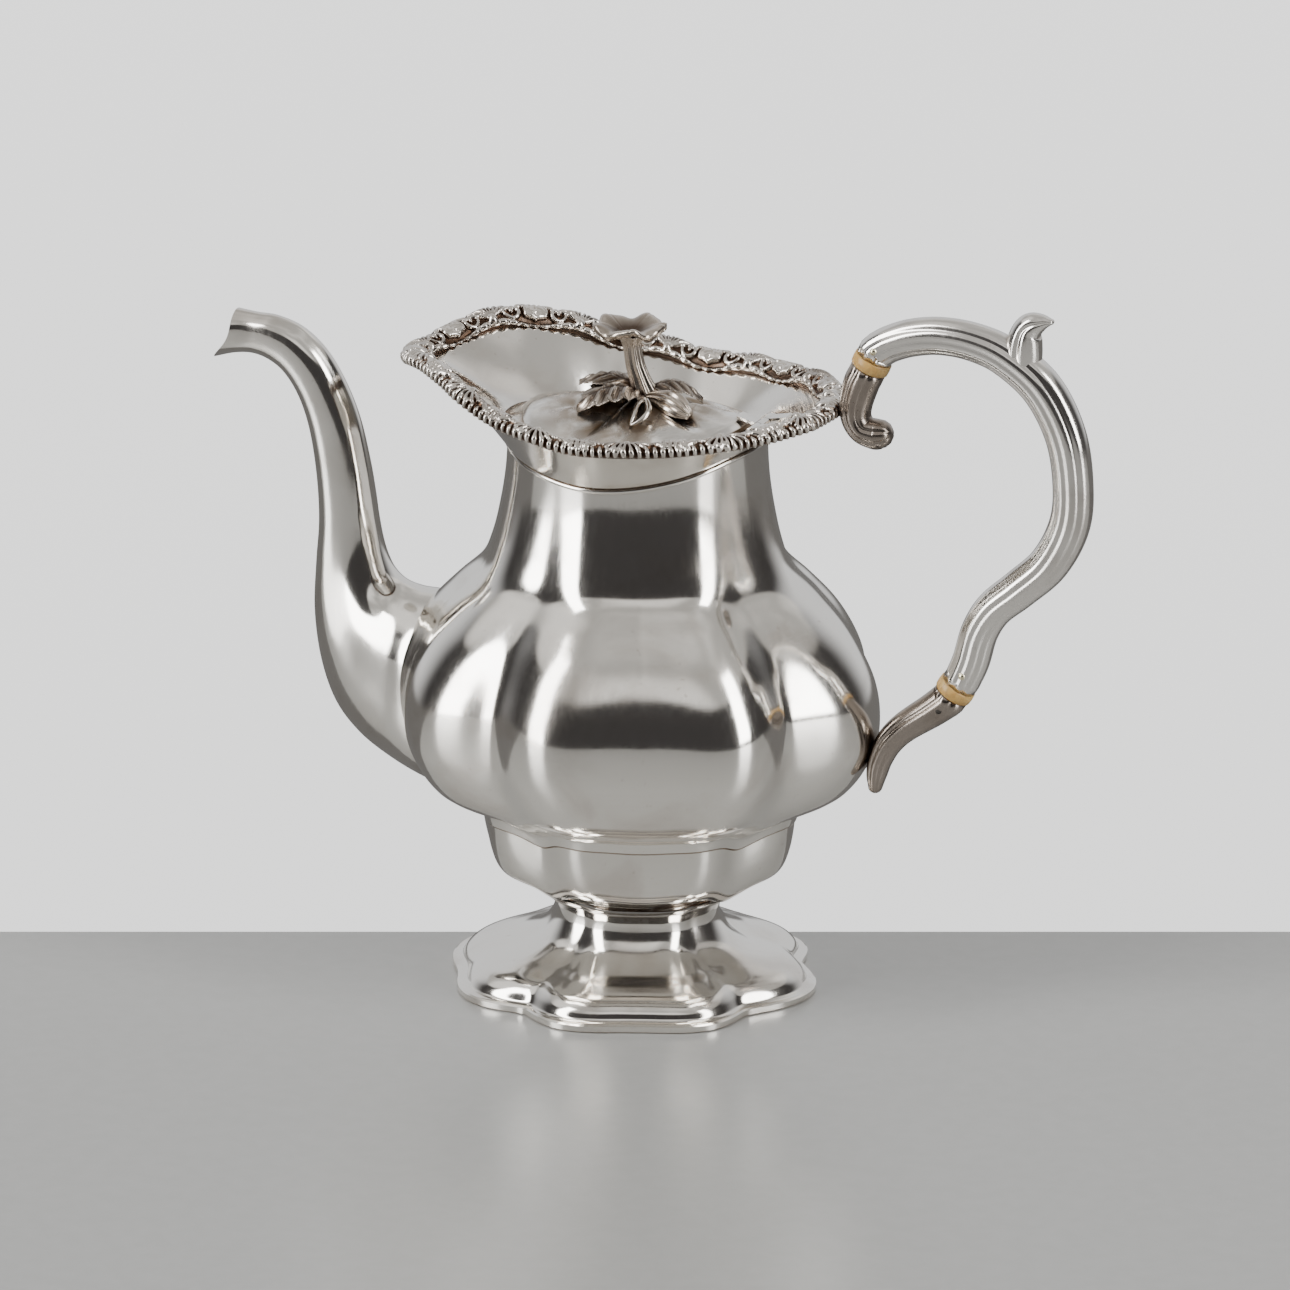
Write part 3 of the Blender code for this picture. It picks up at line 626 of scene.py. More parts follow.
def make_collar():
    shares = np.linspace(1.0, 0.0, 26)
    top = [[tuple(dish_point(a, s)) for a in ANGLES] for s in shares]
    below = []
    for s in np.linspace(0.0, 1.0, 16):
        row = []
        for a in ANGLES:
            x, y, z = dish_point(a, s)
            drop = COLLAR_WALL * (1.6 - 0.6 * s)
            row.append((x, y, z - drop))
        below.append(row)
    dish = surface("collar_skin", top + below, close_rows=True, sharp=50)
    piece(dish, POLISHED, "pot", "silver", "collar")

    seat = [(THROAT_R + 0.3, THROAT_Z - 0.05), (38.0, THROAT_Z + 0.3), (SEAT_INNER, SEAT_Z)]
    seat += [(SEAT_INNER, SEAT_Z - 1.0), (38.0, THROAT_Z - 0.9), (THROAT_R - 0.2, THROAT_Z - 1.2)]

    # Painted shade: the seat darkens under the lid and by the throat, as the gap round the lid falls in
    # shadow; only the ledge stays bright.
    def painted_shade_beside_ledge(radius, _):
        return float(radius < LID_R or radius > THROAT_R)

    obj = lathe("seat_skin", seat, mouth_point, closed=True, sharp=30, deep=painted_shade_beside_ledge)
    piece(obj, POLISHED, "pot", "silver", "lid_seat")
    band = oval_wire("neck_band_skin", NECK_BAND_R, NECK_BAND_Z, 1.0, 0.8, 12, mouth_point)
    piece(band, POLISHED, "pot", "silver", "neck_band")


def stamp_line(field, step, points):
    """Raises a round ridge on the height field along (along, across, radius, lift) points."""
    rows, columns = field.shape
    half = (rows - 1) / 2
    for (a0, c0, r0, l0), (a1, c1, r1, l1) in zip(points, points[1:]):
        length = math.hypot(a1 - a0, c1 - c0)
        count = max(2, int(length / 0.22))
        for i in range(count):
            t = i / count
            along, across = a0 + (a1 - a0) * t, c0 + (c1 - c0) * t
            radius, lift = r0 + (r1 - r0) * t, l0 + (l1 - l0) * t
            reach = int(radius / min(step)) + 1
            middle = int(round(along / step[0]))
            line = int(round(half + across / step[1]))
            low, high = max(0, line - reach), min(rows, line + reach + 1)
            if low >= high:
                continue
            k = np.arange(middle - reach, middle + reach + 1)
            da = k * step[0] - along
            dc = (np.arange(low, high) - half) * step[1] - across
            inside = radius**2 - (da[None, :] ** 2 + dc[:, None] ** 2)
            height = lift + np.sqrt(np.maximum(inside, 0))
            wrapped = k % columns
            patch = field[low:high][:, wrapped]
            field[low:high, wrapped] = np.where(inside > 0, np.maximum(patch, height), patch)


def scroll(along, across, hand, size, thick):
    """A C-scroll: a ridge that thickens as it unwinds."""
    points = []
    count = 20
    for k in range(count + 1):
        t = k / count
        turn = math.radians(205) - 2.3 * math.pi * t
        radius = size * (0.12 + 0.88 * t)
        width = thick * (0.55 + 0.45 * math.sin(math.pi * (0.15 + 0.75 * t)))
        side = hand * radius * math.cos(turn)
        points.append((along + side, across + radius * math.sin(turn), width, 0.7))
    return points


def shell_fan(along, across, ribs, length, spread):
    """Ribs that fan out from one point on the border's inner side."""
    lines = []
    for k in range(ribs):
        share = k / (ribs - 1) * 2 - 1
        turn = math.radians(spread * share)
        reach = length * (1 - 0.14 * abs(share))
        tip = (along + 1.15 * reach * math.sin(turn), across + reach * math.cos(turn))
        middle = ((along + tip[0]) / 2, (across + tip[1]) / 2)
        lines.append([(along, across, 0.22, 0.6), (*middle, 0.40, 1.25), (*tip, 0.72, 0.7)])
    return lines


def leaf_spray(along, across, hand, lean):
    """Curved leaflets that spring from one stem, longer towards the tip."""
    lines = []
    for k in range(4):
        turn = math.radians(lean + 30 * k - 30)
        reach = 4.4 - 0.4 * abs(k - 1.5)
        points = []
        for i in range(6):
            t = i / 5
            bend = turn + 0.5 * t
            side = hand * reach * t * math.sin(bend)
            width = 0.5 + 0.34 * math.sin(math.pi * t)
            points.append((along + side, across + reach * t * math.cos(bend), width, 1.1))
        lines.append(points)
    return lines


def border_relief(step, shape, unit, count):
    """Height of the cast relief over the border's band, along it and across it, in millimetres."""
    rows, columns = shape
    field = np.zeros(shape)
    rib_count = int(count * unit / 2.2)
    for k in range(rib_count):
        a = count * unit * k / rib_count
        wide = 0.86 + 0.14 * math.cos(5.3 * k)
        rib = [(a, 2.5, 0.5, 0.3), (a + 0.3, 4.3, wide, 0.8), (a + 0.5, 6.2, 0.7, 0.3)]
        stamp_line(field, step, rib)
    for u in range(count):
        start = u * unit
        moulding = []
        for k in range(41):
            a = (k / 40 - 0.5) * unit
            swing = math.cos(2 * math.pi * a / unit)
            lift = 0.45 + 0.35 * math.cos(1.7 * a)
            moulding.append((start + a, -4.5 + 1.2 * swing, 0.85 + 0.3 * swing, lift))
        stamp_line(field, step, moulding)
        for rib in shell_fan(start, -1.8, 9, 7.6, 62):
            stamp_line(field, step, rib)
        stamp_line(field, step, [(start - 0.01, -2.4, 1.6, 0.8), (start + 0.01, -1.9, 1.5, 0.8)])
        for hand in (-1, 1):
            stamp_line(field, step, scroll(start + hand * 7.4, -0.6, hand, 3.1, 0.72))
            tail = ((9.4, 1.4, 1.0, 0.8), (11.6, 2.8, 0.9, 0.8), (13.6, 2.2, 0.6, 0.6))
            stamp_line(field, step, [(start + hand * away, *rest) for away, *rest in tail])
            for leaflet in leaf_spray(start + hand * 11.2, -2.4, hand, 20):
                stamp_line(field, step, leaflet)
        middle = start + unit / 2
        for k in range(-2, 3):
            a = middle + 1.5 * k
            root = (a * 0.3 + middle * 0.7, -2.0, 0.45, 0.9)
            stamp_line(field, step, [root, (a, 1.2, 0.72, 1.15), (a + 0.4 * k, 4.4, 0.55, 0.6)])
    for axis in (0, 1):
        field = (np.roll(field, 1, axis) + 2 * field + np.roll(field, -1, axis)) / 4
    return field


def make_border():
    """The cast border: a half-round band along the collar's edge, with its relief raised on it."""
    columns = 2400
    rows = 67
    base_angles = np.linspace(-math.pi, math.pi, columns, endpoint=False)
    edge = np.array([collar_edge(a) for a in base_angles])
    hops = np.linalg.norm(np.roll(edge, -1, axis=0) - edge, axis=1)
    run = np.concatenate([[0], np.cumsum(hops)])
    length = run[-1]
    even = np.linspace(0, length, columns, endpoint=False)
    angle_at = np.interp(even, run, np.append(base_angles, math.pi))
    spots = np.array([collar_edge(a) for a in angle_at])
    unit = length / BORDER_UNITS
    step = (length / columns, BORDER_WIDTH / (rows - 1))
    field = border_relief(step, (rows, columns), unit, BORDER_UNITS)

    phase = 2 * math.pi * even / unit
    swell = 1 + 0.17 * np.cos(phase) + 0.06 * np.cos(2 * phase)
    tangent = np.roll(spots, -1, axis=0) - np.roll(spots, 1, axis=0)
    tangent /= np.linalg.norm(tangent, axis=1)[:, None]
    slope = spots - np.array([dish_point(a, 0.86) for a in angle_at])
    slope -= tangent * np.sum(slope * tangent, axis=1)[:, None]
    slope /= np.linalg.norm(slope, axis=1)[:, None]
    outward = slope * np.array((1, 1, 0.8))
    outward /= np.linalg.norm(outward, axis=1)[:, None]
    normal = np.cross(outward, tangent)
    normal *= np.sign(normal[:, 2])[:, None]

    def band_row(share, height):
        turn = math.radians(-92 + 214 * share)
        out, up = math.sin(turn), math.cos(turn)
        reach = BORDER_HALF_OUT * out * (swell if out > 0 else np.ones(columns)) - 0.9
        facing = outward * (out / BORDER_HALF_OUT) + normal * (up / BORDER_HALF_UP)
        facing /= np.linalg.norm(facing, axis=1)[:, None]
        base = spots + outward * reach[:, None] + normal * (BORDER_HALF_UP * up - 0.6)
        return base + facing * (0.95 * height)[:, None]

    grid = [band_row(r / (rows - 1), field[r]) for r in range(rows)]
    grid.append(spots + normal * -1.9)
    depth = np.clip((1.3 - field) / 0.95, 0, 1)
    depth = np.vstack([depth, np.ones((1, columns))])
    rings = [[tuple(point) for point in row] for row in grid]
    obj = surface("border_cast", rings, close_rows=True, sharp=180, hollow=depth)
    piece(obj, CAST, "pot", "silver_oxidised", "collar_border")


# Lid and finial


def lid_height(radius):
    share = min(1, radius / LID_R)
    return LID_EDGE_Z + LID_RISE * (1 - share**2) ** 0.9


def make_lid():
    def lid_point(angle, radius, height):
        x, y, z = mouth_point(angle, radius, height)
        share = radius / LID_R
        pleat = (1 - lobed(angle, 1.0)) * 2.4 * math.sin(math.pi * min(1, share * 1.05)) ** 1.3
        strength = 0.5 * bump_at(math.degrees(abs(angle)), 0, 50)
        rays = strength * math.cos(18 * angle) * math.sin(math.pi * share) ** 2
        return x, y, z - pleat + rays

    shares = np.linspace(0.0, 1.0, 40)
    top = [(LID_R * s, lid_height(LID_R * s)) for s in shares]
    edge = [
        (LID_R + 0.25, LID_EDGE_Z - 0.2),
        (LID_R + 0.25, LID_EDGE_Z - 1.5),
        (LID_R - 1.0, LID_EDGE_Z - 1.5),
    ]
    below = [(LID_R * s, lid_height(LID_R * s) - 0.9) for s in reversed(shares[:-3:3])]

    # The lid's edge and underside are darkened: partly tarnish, partly painted shade of the gap round the
    # lid.
    def painted_shade_under_lid_edge(_, height):
        return float(height < LID_EDGE_Z - 0.1)

    lid = lathe("lid_skin", top + edge + below, lid_point, sharp=40, deep=painted_shade_under_lid_edge)
    piece(lid, LID_SILVER, "lid", "silver", "lid_dome")

    top, bottom = SEAT_Z + 1.0, SEAT_Z - BEZEL_DEPTH
    bezel = [(BEZEL_R, top), (BEZEL_R - 0.2, bottom), (BEZEL_R - 1.1, bottom), (BEZEL_R - 0.9, top)]
    bezel = lathe("bezel_skin", bezel, mouth_point, closed=True, sharp=40)
    piece(bezel, POLISHED, "lid", "silver", "lid_bezel")


def blade(name, heading, length, width, rise, droop, root, curl):
    """A veined, toothed leaf that arches up from its root and droops at its tip."""
    rows, half_columns, teeth = 72, 22, 5
    top, bottom, shade = [], [], []
    for i in range(rows + 1):
        u = i / rows
        plain = math.sin(math.pi * (0.10 + 0.90 * u) ** 0.85) ** 0.75 if u < 0.999 else 0.02
        tooth = 1 + 0.34 * (((u * teeth) % 1) ** 0.7 - 0.5) * min(1, 4 * u)
        half = width / 2 * max(0.02, plain * tooth)
        row_top, row_bottom, row_shade = [], [], []
        for j in range(-half_columns, half_columns + 1):
            v = j / half_columns
            out = length * u + 0.10 * length * (abs(v) ** 1.5) * (1 - u) * 0.6
            vein = -0.5 * bump_at(v, 0, 0.09)
            ribs = 0.36 * math.cos(2 * math.pi * teeth * (u - 0.22 * abs(v) * 1.2))
            ribs *= (1 - abs(v) ** 4) * min(1, 6 * abs(v))
            fine = 0.17 * math.cos(2 * math.pi * teeth * 4 * (u - 0.30 * abs(v)))
            up = rise * math.sin(math.pi * 0.75 * u) - droop * u**2
            up += (1.5 - 2.9 * abs(v) ** 1.6) * (0.6 + curl * u)
            up += (vein + ribs + fine) * min(1, 5 * (1 - u)) + 0.5 * bump_at(abs(v), 1.0, 0.13)
            row_shade.append(min(1, max(0, 0.5 - 1.3 * (vein + ribs + fine)) * (1 - abs(v) ** 6)))
            side = v * half
            x = root[0] + out * math.cos(heading) - side * math.sin(heading)
            y = root[1] + out * math.sin(heading) + side * math.cos(heading)
            row_top.append((x, y, root[2] + up))
            row_bottom.append((x, y, root[2] + up - 0.55 * (1 - 0.6 * abs(v))))
        top.append(row_top)
        bottom.append(row_bottom)
        shade.append(row_shade + [0.4] * len(row_bottom))
    rows_all = [t + b[::-1] for t, b in zip(top, bottom)]
    return surface(name, rows_all, cap_start=True, cap_end=True, sharp=180, hollow=shade)


def rod_between(name, line, columns=20, section=None):
    """A round rod along (x, y, z, radius) points in space."""
    line = np.array(line)
    places = line[:, :3]
    tangent = np.gradient(places, axis=0)
    tangent /= np.linalg.norm(tangent, axis=1)[:, None]
    side = np.cross(tangent, (0.3, 0.2, 0.93))
    side /= np.linalg.norm(side, axis=1)[:, None]
    other = np.cross(tangent, side)
    rows = []
    for i, (place, radius) in enumerate(zip(places, line[:, 3])):
        row = []
        for k in range(columns):
            turn = 2 * math.pi * k / columns
            scale = section(turn) if section else 1.0
            outward = side[i] * math.cos(turn) + other[i] * math.sin(turn)
            row.append(tuple(place + outward * radius * scale))
        rows.append(row)
    return surface(name, rows, cap_start=True, cap_end=True, sharp=70)


def make_finial():
    crown = lid_height(0)

    def stem_section(turn, _):
        return 1 + 0.10 * math.cos(9 * turn)

    stem = [
        (3.0, crown - 1.2, 4.6, 4.6),
        (2.0, crown + 1.6, 3.7, 3.7),
        (0.7, crown + 5.0, 3.0, 3.0),
        (-0.9, crown + 9.6, 2.7, 2.7),
        (-1.8, FLOWER_Z - 2.2, 2.6, 2.6),
        (-2.0, FLOWER_Z - 0.2, 3.0, 3.0),
        (-2.0, FLOWER_Z + 1.4, 3.4, 3.4),
    ]
    obj = sweep("finial_stem_grooved", smooth_line(stem, 6), stem_section, columns=72, sharp=180)
    piece(obj, DARK_CAST, "lid", "silver_oxidised", "finial_stem")

    columns = 200
    top, bottom, shade = [], [], []
    for share in np.linspace(0.0, 1.0, 30):
        row_top, row_bottom = [], []
        for k in range(columns):
            turn = 2 * math.pi * k / columns
            wave = math.cos(5 * (turn + math.radians(68)))
            ruffle = math.cos(10 * (turn + math.radians(58)))
            reach = share * (10.9 + 0.4 * wave * share + 0.2 * ruffle * share)
            rise = 1.4 + 5.4 * share**1.25 - 2.3 * share**6
            rise += (1.05 * wave + 0.3 * ruffle) * share**2.2
            rise -= 0.25 * bump_at(abs(math.sin(2.5 * (turn + math.radians(68)))), 0, 0.10) * share
            x = FINIAL_X - 0.8 + reach * math.cos(turn)
            y = reach * math.sin(turn)
            thick = 0.7 + 1.0 * share**4
            row_top.append((x, y, FLOWER_Z + rise))
            row_bottom.append((x, y, FLOWER_Z + rise - thick))
        top.append(row_top)
        bottom.append(row_bottom)
        shade.append([min(1, max(0, 1.7 - 1.9 * share))] * columns)
    obj = surface("finial_flower_petals", top + bottom[::-1], sharp=180, hollow=shade + shade[::-1])
    piece(obj, DARK_CAST, "lid", "silver_oxidised", "finial_flower")

    blades = (
        ("finial_leaf_left_veined", "finial_leaf_left", 176, 21.0, 15.0, 4.6, 3.0, 0.12),
        ("finial_leaf_front_veined", "finial_leaf_front", -136, 21.0, 19.0, 3.6, 5.4, 0.3),
        ("finial_leaf_right_veined", "finial_leaf_right", 24, 17.0, 13.0, 4.2, 5.8, 0.2),
    )
    for name, node, heading, length, width, rise, droop, curl in blades:
        turn = math.radians(heading)
        root = (2.0 + 0.6 * math.cos(turn), 0.6 * math.sin(turn), crown + 1.2)
        obj = blade(name, turn, length, width, rise, droop, root, curl)
        piece(obj, DARK_CAST, "lid", "silver_oxidised", node)
    bud = [
        (4.6, -3.0, crown + 0.8, 1.2),
        (9.4, -5.4, crown + 1.3, 2.4),
        (14.0, -7.4, crown + 0.9, 3.5),
        (17.8, -8.8, crown - 0.5, 2.8),
        (20.4, -9.4, crown - 1.7, 1.3),
    ]

    def bud_section(turn):
        return 1 + 0.09 * math.cos(12 * turn)

    obj = rod_between("finial_bud_grooved", smooth_line(bud, 5), 48, bud_section)
    piece(obj, DARK_CAST, "lid", "silver_oxidised", "finial_bud")
    curl = [
        (4.4, -7.2, crown + 1.4, 0.5),
        (6.8, -9.6, crown + 1.5, 0.75),
        (9.0, -13.6, crown - 0.2, 0.85),
        (7.6, -17.0, crown - 2.4, 0.7),
        (5.2, -18.2, crown - 3.6, 0.4),
        (5.0, -15.4, crown - 1.6, 0.75),
        (4.6, -11.4, crown + 0.7, 0.7),
        (5.4, -9.2, crown + 1.4, 0.5),
    ]
    obj = rod_between("finial_tendril_loop", smooth_line(curl, 6))
    piece(obj, CAST, "lid", "silver_oxidised", "finial_tendril")


# Spout


def outside_body(x, y, z):
    """How far a point stands outside the belly, as a radius."""
    radius = math.hypot(x, y / OVAL)
    angle = math.atan2(y / OVAL, x)
    crown = float(np.interp(z, BODY_HEIGHTS, BODY_RADII))
    return radius - crown * body_lobe(angle, z)


def make_spout():
    sections = smooth_line([(*upper, *lower, half) for upper, lower, half in SPOUT_SECTIONS], 14)
    columns = 96
    lines = []
    for k in range(columns):
        turn = 2 * math.pi * k / columns
        share = (1 + math.cos(turn)) / 2
        line = []
        for i, (ux, uz, lx, lz, half) in enumerate(sections):
            t = i / (len(sections) - 1)
            ridge = 1 + 0.05 * bump_at(abs(math.cos(turn)), 1.0, 0.06) * min(1, max(0, (t - 0.35) / 0.4))
            mid_x, mid_z = (ux + lx) / 2, (uz + lz) / 2
            flat = math.sin(turn) * (1 - 0.05 * math.cos(4 * turn))
            x = mid_x + (lx + (ux - lx) * share - mid_x) * ridge
            z = mid_z + (lz + (uz - lz) * share - mid_z) * ridge
            line.append((x, half * flat, z))
        line = np.array(line)
        clear = [i for i, p in enumerate(line) if outside_body(*p) > -0.4]
        start = clear[0] if clear else 0
        at = np.linspace(start, len(line) - 1, 120)
        steps = np.arange(len(line))
        lines.append(np.stack([np.interp(at, steps, line[:, axis]) for axis in range(3)], axis=1))
    outer = [[tuple(lines[k][i]) for k in range(columns)] for i in range(120)]

    def lip(point, turn, share):
        """The mouth's edge: a hollow on both sides, with the lower lip run out."""
        x, y, z = point
        hollow = 2.6 * math.sin(turn) ** 2 * share**2
        beak = 1.2 * bump_at(math.cos(turn), -1.0, 0.6) * share**3
        flare = 1 + 0.12 * share**2
        return x + hollow - beak, y * flare, z - 0.2 * beak

    shaped = []
    for i, row in enumerate(outer):
        share = max(0.0, (i - 104) / 15)
        shaped.append([lip(p, 2 * math.pi * k / columns, share) for k, p in enumerate(row)])
    inner = []
    for i in (119, 118, 116, 113, 109, 104, 98, 90):
        row = shaped[i]
        middle = np.mean(np.array(row), axis=0)
        shrink = 0.86 if i < 119 else 0.95
        inner.append([tuple(middle + (np.array(p) - middle) * shrink) for p in row])
    obj = surface("spout_skin", shaped + inner, cap_end=True, sharp=60)
    piece(obj, POLISHED, "pot", "silver", "spout")


# Handle


def grip_section(turn, _):
    """A round bar with three soft flutes on each side."""
    degrees = abs((math.degrees(turn) + 180) % 360 - 180)
    depth = 0.0
    for at, width, deep in ((56, 9, 0.075), (94, 10, 0.06), (132, 10, 0.04)):
        depth += deep * bump_at(degrees, at, width)
    return 1.02 - depth


def make_handle():
    def ends(joint, sign):
        middle, axis = joint_axis(joint)
        reaches = (RING_THICK / 2 + 0.02, RING_THICK / 2 + 2.4)
        return [(*(middle + sign * axis * reach), JOINT_R) for reach in reaches]

    upper_end, lower_end = ends(UPPER_JOINT, 1), ends(LOWER_JOINT, 1)
    line = smooth_line([upper_end[1], *GRIP_LINE, lower_end[1]], 10)
    line = np.vstack([[upper_end[0]], line, [lower_end[0]]])
    line = np.column_stack([line[:, 0], line[:, 1], line[:, 2], line[:, 2]])
    grip = sweep("grip_skin", line, grip_section, columns=144, sharp=180)
    piece(grip, HANDLE_SILVER, "pot", "silver", "handle_grip")

    def fluted(turn, _):
        degrees = abs((math.degrees(turn) + 180) % 360 - 180)
        return 1 - 0.09 * bump_at(degrees, 66, 8) - 0.09 * bump_at(degrees, 112, 8)

    for name, node, joint, points in (
        ("upper_socket_skin", "upper_socket", UPPER_JOINT, UPPER_SOCKET_LINE),
        ("lower_socket_skin", "lower_socket", LOWER_JOINT, LOWER_SOCKET_LINE),
    ):
        start = [(*p, JOINT_R) for p in ends(joint, -1)]
        line = np.vstack([[start[0]], smooth_line([start[1], *points], 10)])
        socket = sweep(name, line, fluted, columns=96, round_end=True, sharp=180)
        piece(socket, SOCKET_SILVER, "pot", "silver", node)

    for name, node, joint in (
        ("bone_upper", "upper_insulator", UPPER_JOINT),
        ("bone_lower", "lower_insulator", LOWER_JOINT),
    ):
        middle, axis = joint_axis(joint)
        half = RING_THICK / 2
        rings = []
        barrel = ((-half, 0.93), (-half + 0.25, 1.0), (0, 1.02), (half - 0.25, 1.0), (half, 0.93))
        for along, shrink in barrel:
            rings.append((*(middle + axis * along), RING_R * shrink, RING_R * shrink))
        piece(sweep(name, rings, columns=64, sharp=60), BONE, "pot", "bone", node)

    def leaf_section(turn, _):
        degrees = abs((math.degrees(turn) + 180) % 360 - 180)
        return 1 - 0.13 * bump_at(degrees, 82, 9) + 0.03 * bump_at(degrees, 108, 10)

    line = smooth_line(THUMB_LINE, 8)
    obj = sweep("thumb_leaf_skin", line, leaf_section, columns=80, round_end=True, sharp=180)
    piece(obj, HANDLE_SILVER, "pot", "silver", "thumb_leaf")

    # The socket-side pins are drawn as dark holes in painted shade.
    pins = (
        ("pin_upper_grip", "upper_grip_pin", UPPER_JOINT, 5.4, JOINT_R - 0.1, BRASS),
        ("pin_lower_grip", "lower_grip_pin", LOWER_JOINT, 6.8, JOINT_R - 0.1, BRASS),
        ("pin_upper_socket", "upper_socket_pin", UPPER_JOINT, -7.0, JOINT_R - 0.6, PAINTED_PIN_HOLE_SHADE),
        ("pin_lower_socket", "lower_socket_pin", LOWER_JOINT, -7.0, JOINT_R - 0.6, PAINTED_PIN_HOLE_SHADE),
    )
    for name, node, joint, distance, reach, material in pins:
        middle, axis = joint_axis(joint)
        x, z = middle + axis * distance
        rows = []
        head = ((0.96, 1.0), (1.04, 0.85), (1.1, 0.5), (1.12, 0.02))
        for share, shrink in [(-share, shrink) for share, shrink in reversed(head)] + list(head):
            radius = PIN_R * shrink
            turns = [2 * math.pi * k / 24 for k in range(24)]
            rows.append([(x + radius * math.cos(t), reach * share, z + radius * math.sin(t)) for t in turns])
        piece(surface(name, rows, cap_start=True, cap_end=True), material, "pot", "brass", node)


# Table, room, light and camera

VIEW_AZIMUTH = 22.0
VIEW_ELEVATION = 17.5
VIEW_DISTANCE = 2.4
AIM_HEIGHT = 0.1048
AIM_RIGHT = 0.0021
TABLE_BACK = 0.038
LENS = 223.0


def view_axes():
    a = math.radians(VIEW_AZIMUTH)
    return Vector((math.cos(a), math.sin(a), 0)), Vector((-math.sin(a), math.cos(a), 0))


def make_stage():
    right, back = view_axes()
    centre = Vector((AXIS_X * MM, 0, 0))
    corners = [
        centre + right * 3 + back * TABLE_BACK,
        centre - right * 3 + back * TABLE_BACK,
        centre - right * 3 - back * 3,
        centre + right * 3 - back * 3,
    ]
    verts = [tuple(c) for c in corners] + [(c.x, c.y, -0.03) for c in corners]
    faces = [(0, 1, 2, 3), (7, 6, 5, 4), (0, 4, 5, 1), (1, 5, 6, 2), (2, 6, 7, 3), (3, 7, 4, 0)]
    mesh = bpy.data.meshes.new("table_top")
    mesh.from_pydata(verts, [], faces)
    table = bpy.data.objects.new("table_top", mesh)
    bpy.context.scene.collection.objects.link(table)
    material, n = new_material("table_lacquer")
    shader = n.add("ShaderNodeBsdfPrincipled")
    out = n.add("ShaderNodeOutputMaterial")
    fine = n.noise(160, 3)
    colour = n.mix(n.ramp(fine, 0.3, 0.7), (0.36, 0.36, 0.352), (0.375, 0.375, 0.368))
    n.put(colour, shader.inputs["Base Color"])
    n.put(0.30, shader.inputs["Roughness"])
    n.put(0.5, shader.inputs["Specular IOR Level"])
    n.put(shader.outputs[0], out.inputs["Surface"])
    mesh.materials.append(material)


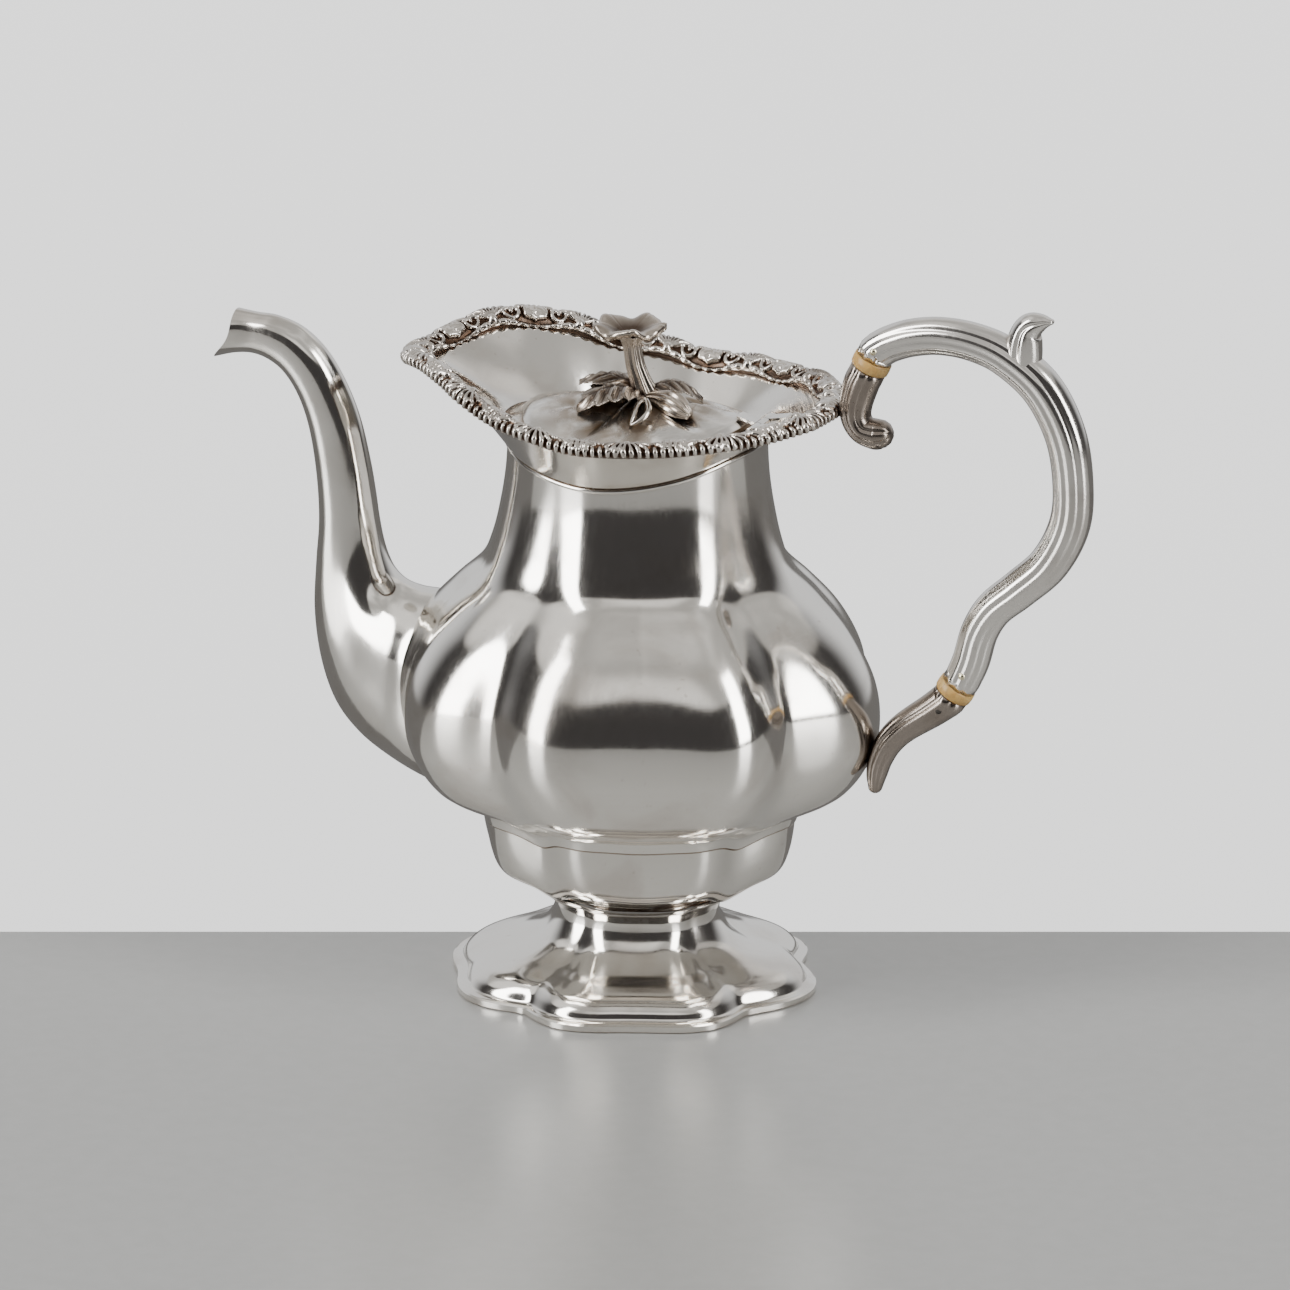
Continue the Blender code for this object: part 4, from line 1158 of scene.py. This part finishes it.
def make_room():
    """A pale wall for the camera, and for reflections a dark room with a pale ceiling and two soft lights."""
    world = bpy.data.worlds.new("studio")
    bpy.context.scene.world = world
    world.use_nodes = True
    n = Nodes(world.node_tree)
    out = n.add("ShaderNodeOutputWorld")
    direction = n.add("ShaderNodeTexCoord").outputs["Generated"]
    turned = n.add("ShaderNodeVectorRotate", rotation_type="Z_AXIS")
    n.put(direction, turned.inputs["Vector"])
    n.put(-math.radians(VIEW_AZIMUTH), turned.inputs["Angle"])
    split = n.add("ShaderNodeSeparateXYZ")
    n.put(turned.outputs[0], split.inputs[0])
    x, y, z = split.outputs
    azimuth = n.math("ARCTAN2", x, n.math("MULTIPLY", y, -1.0))
    elevation = n.math("ARCSINE", z)
    degree = math.pi / 180

    def window(value, low, high, soft):
        rise = n.ramp(value, (low - soft) * degree, (low + soft) * degree)
        fall = n.ramp(value, (high - soft) * degree, (high + soft) * degree, 1.0, 0.0)
        return n.math("MULTIPLY", rise, fall)

    aside = n.math("ABSOLUTE", azimuth)
    behind = n.ramp(aside, 100 * degree, 140 * degree)
    ceiling = n.ramp(elevation, 34.5 * degree, 39.5 * degree)
    tone = n.mix(behind, (0.050, 0.047, 0.047), (0.88, 0.89, 0.91))
    drift = n.add("ShaderNodeTexNoise")
    n.put(direction, drift.inputs["Vector"])
    n.put(1.7, drift.inputs["Scale"])
    overhead = n.mix(n.ramp(drift.outputs["Fac"], 0.38, 0.62), (0.50, 0.49, 0.47), (1.05, 1.03, 1.0))
    tone = n.mix(ceiling, tone, overhead)
    floor = n.ramp(elevation, -6 * degree, 0.0, 1.0, 0.0)
    tone = n.mix(floor, tone, (0.17, 0.165, 0.16))
    left = n.math("MULTIPLY", window(azimuth, -78, -56, 1.5), window(elevation, -2, 58, 2))
    right = n.math("MULTIPLY", window(azimuth, 52, 70, 1.5), window(elevation, 2, 50, 2))
    boxes = n.math("ADD", left, right, clamp=True)
    tone = n.mix(boxes, tone, (11.0, 11.0, 10.9))
    seen = n.mix(n.ramp(elevation, -30 * degree, 5 * degree), (1.55, 1.55, 1.54), (1.95, 1.95, 1.95))
    path = n.add("ShaderNodeLightPath")
    tone = n.mix(path.outputs["Is Camera Ray"], tone, seen)
    background = n.add("ShaderNodeBackground")
    n.put(tone, background.inputs["Color"])
    n.put(background.outputs[0], out.inputs["Surface"])


def make_camera():
    right, back = view_axes()
    aim = Vector((AXIS_X * MM, 0, AIM_HEIGHT)) + right * AIM_RIGHT
    tilt = math.radians(VIEW_ELEVATION)
    place = aim - back * VIEW_DISTANCE * math.cos(tilt) + Vector((0, 0, VIEW_DISTANCE * math.sin(tilt)))
    data = bpy.data.cameras.new("camera")
    data.lens = LENS
    data.clip_end = 50
    camera = bpy.data.objects.new("camera", data)
    camera.location = place
    camera.rotation_euler = (aim - place).to_track_quat("-Z", "Y").to_euler()
    bpy.context.scene.collection.objects.link(camera)
    bpy.context.scene.camera = camera


def finish_hidden_nodes():
    """The hinge keeps its CAD shape."""
    finishes = {
        "hinge_knuckle_front": POLISHED,
        "hinge_knuckle_back": POLISHED,
        "hinge_knuckle_lid": POLISHED,
        "hinge_pin": BRASS,
    }
    for node, material in finishes.items():
        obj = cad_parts[node]
        obj.data.materials.clear()
        obj.data.materials.append(material)


BODY_LINE = np.array(dense(BELLY_PROFILE, COVE_PROFILE, BOWL_PROFILE))[::-1]
BODY_HEIGHTS = BODY_LINE[:, 1]
BODY_RADII = BODY_LINE[:, 0]

make_body()
make_foot()
make_collar()
make_border()
make_lid()
make_finial()
make_spout()
make_handle()
finish_hidden_nodes()
make_stage()
make_room()
make_camera()
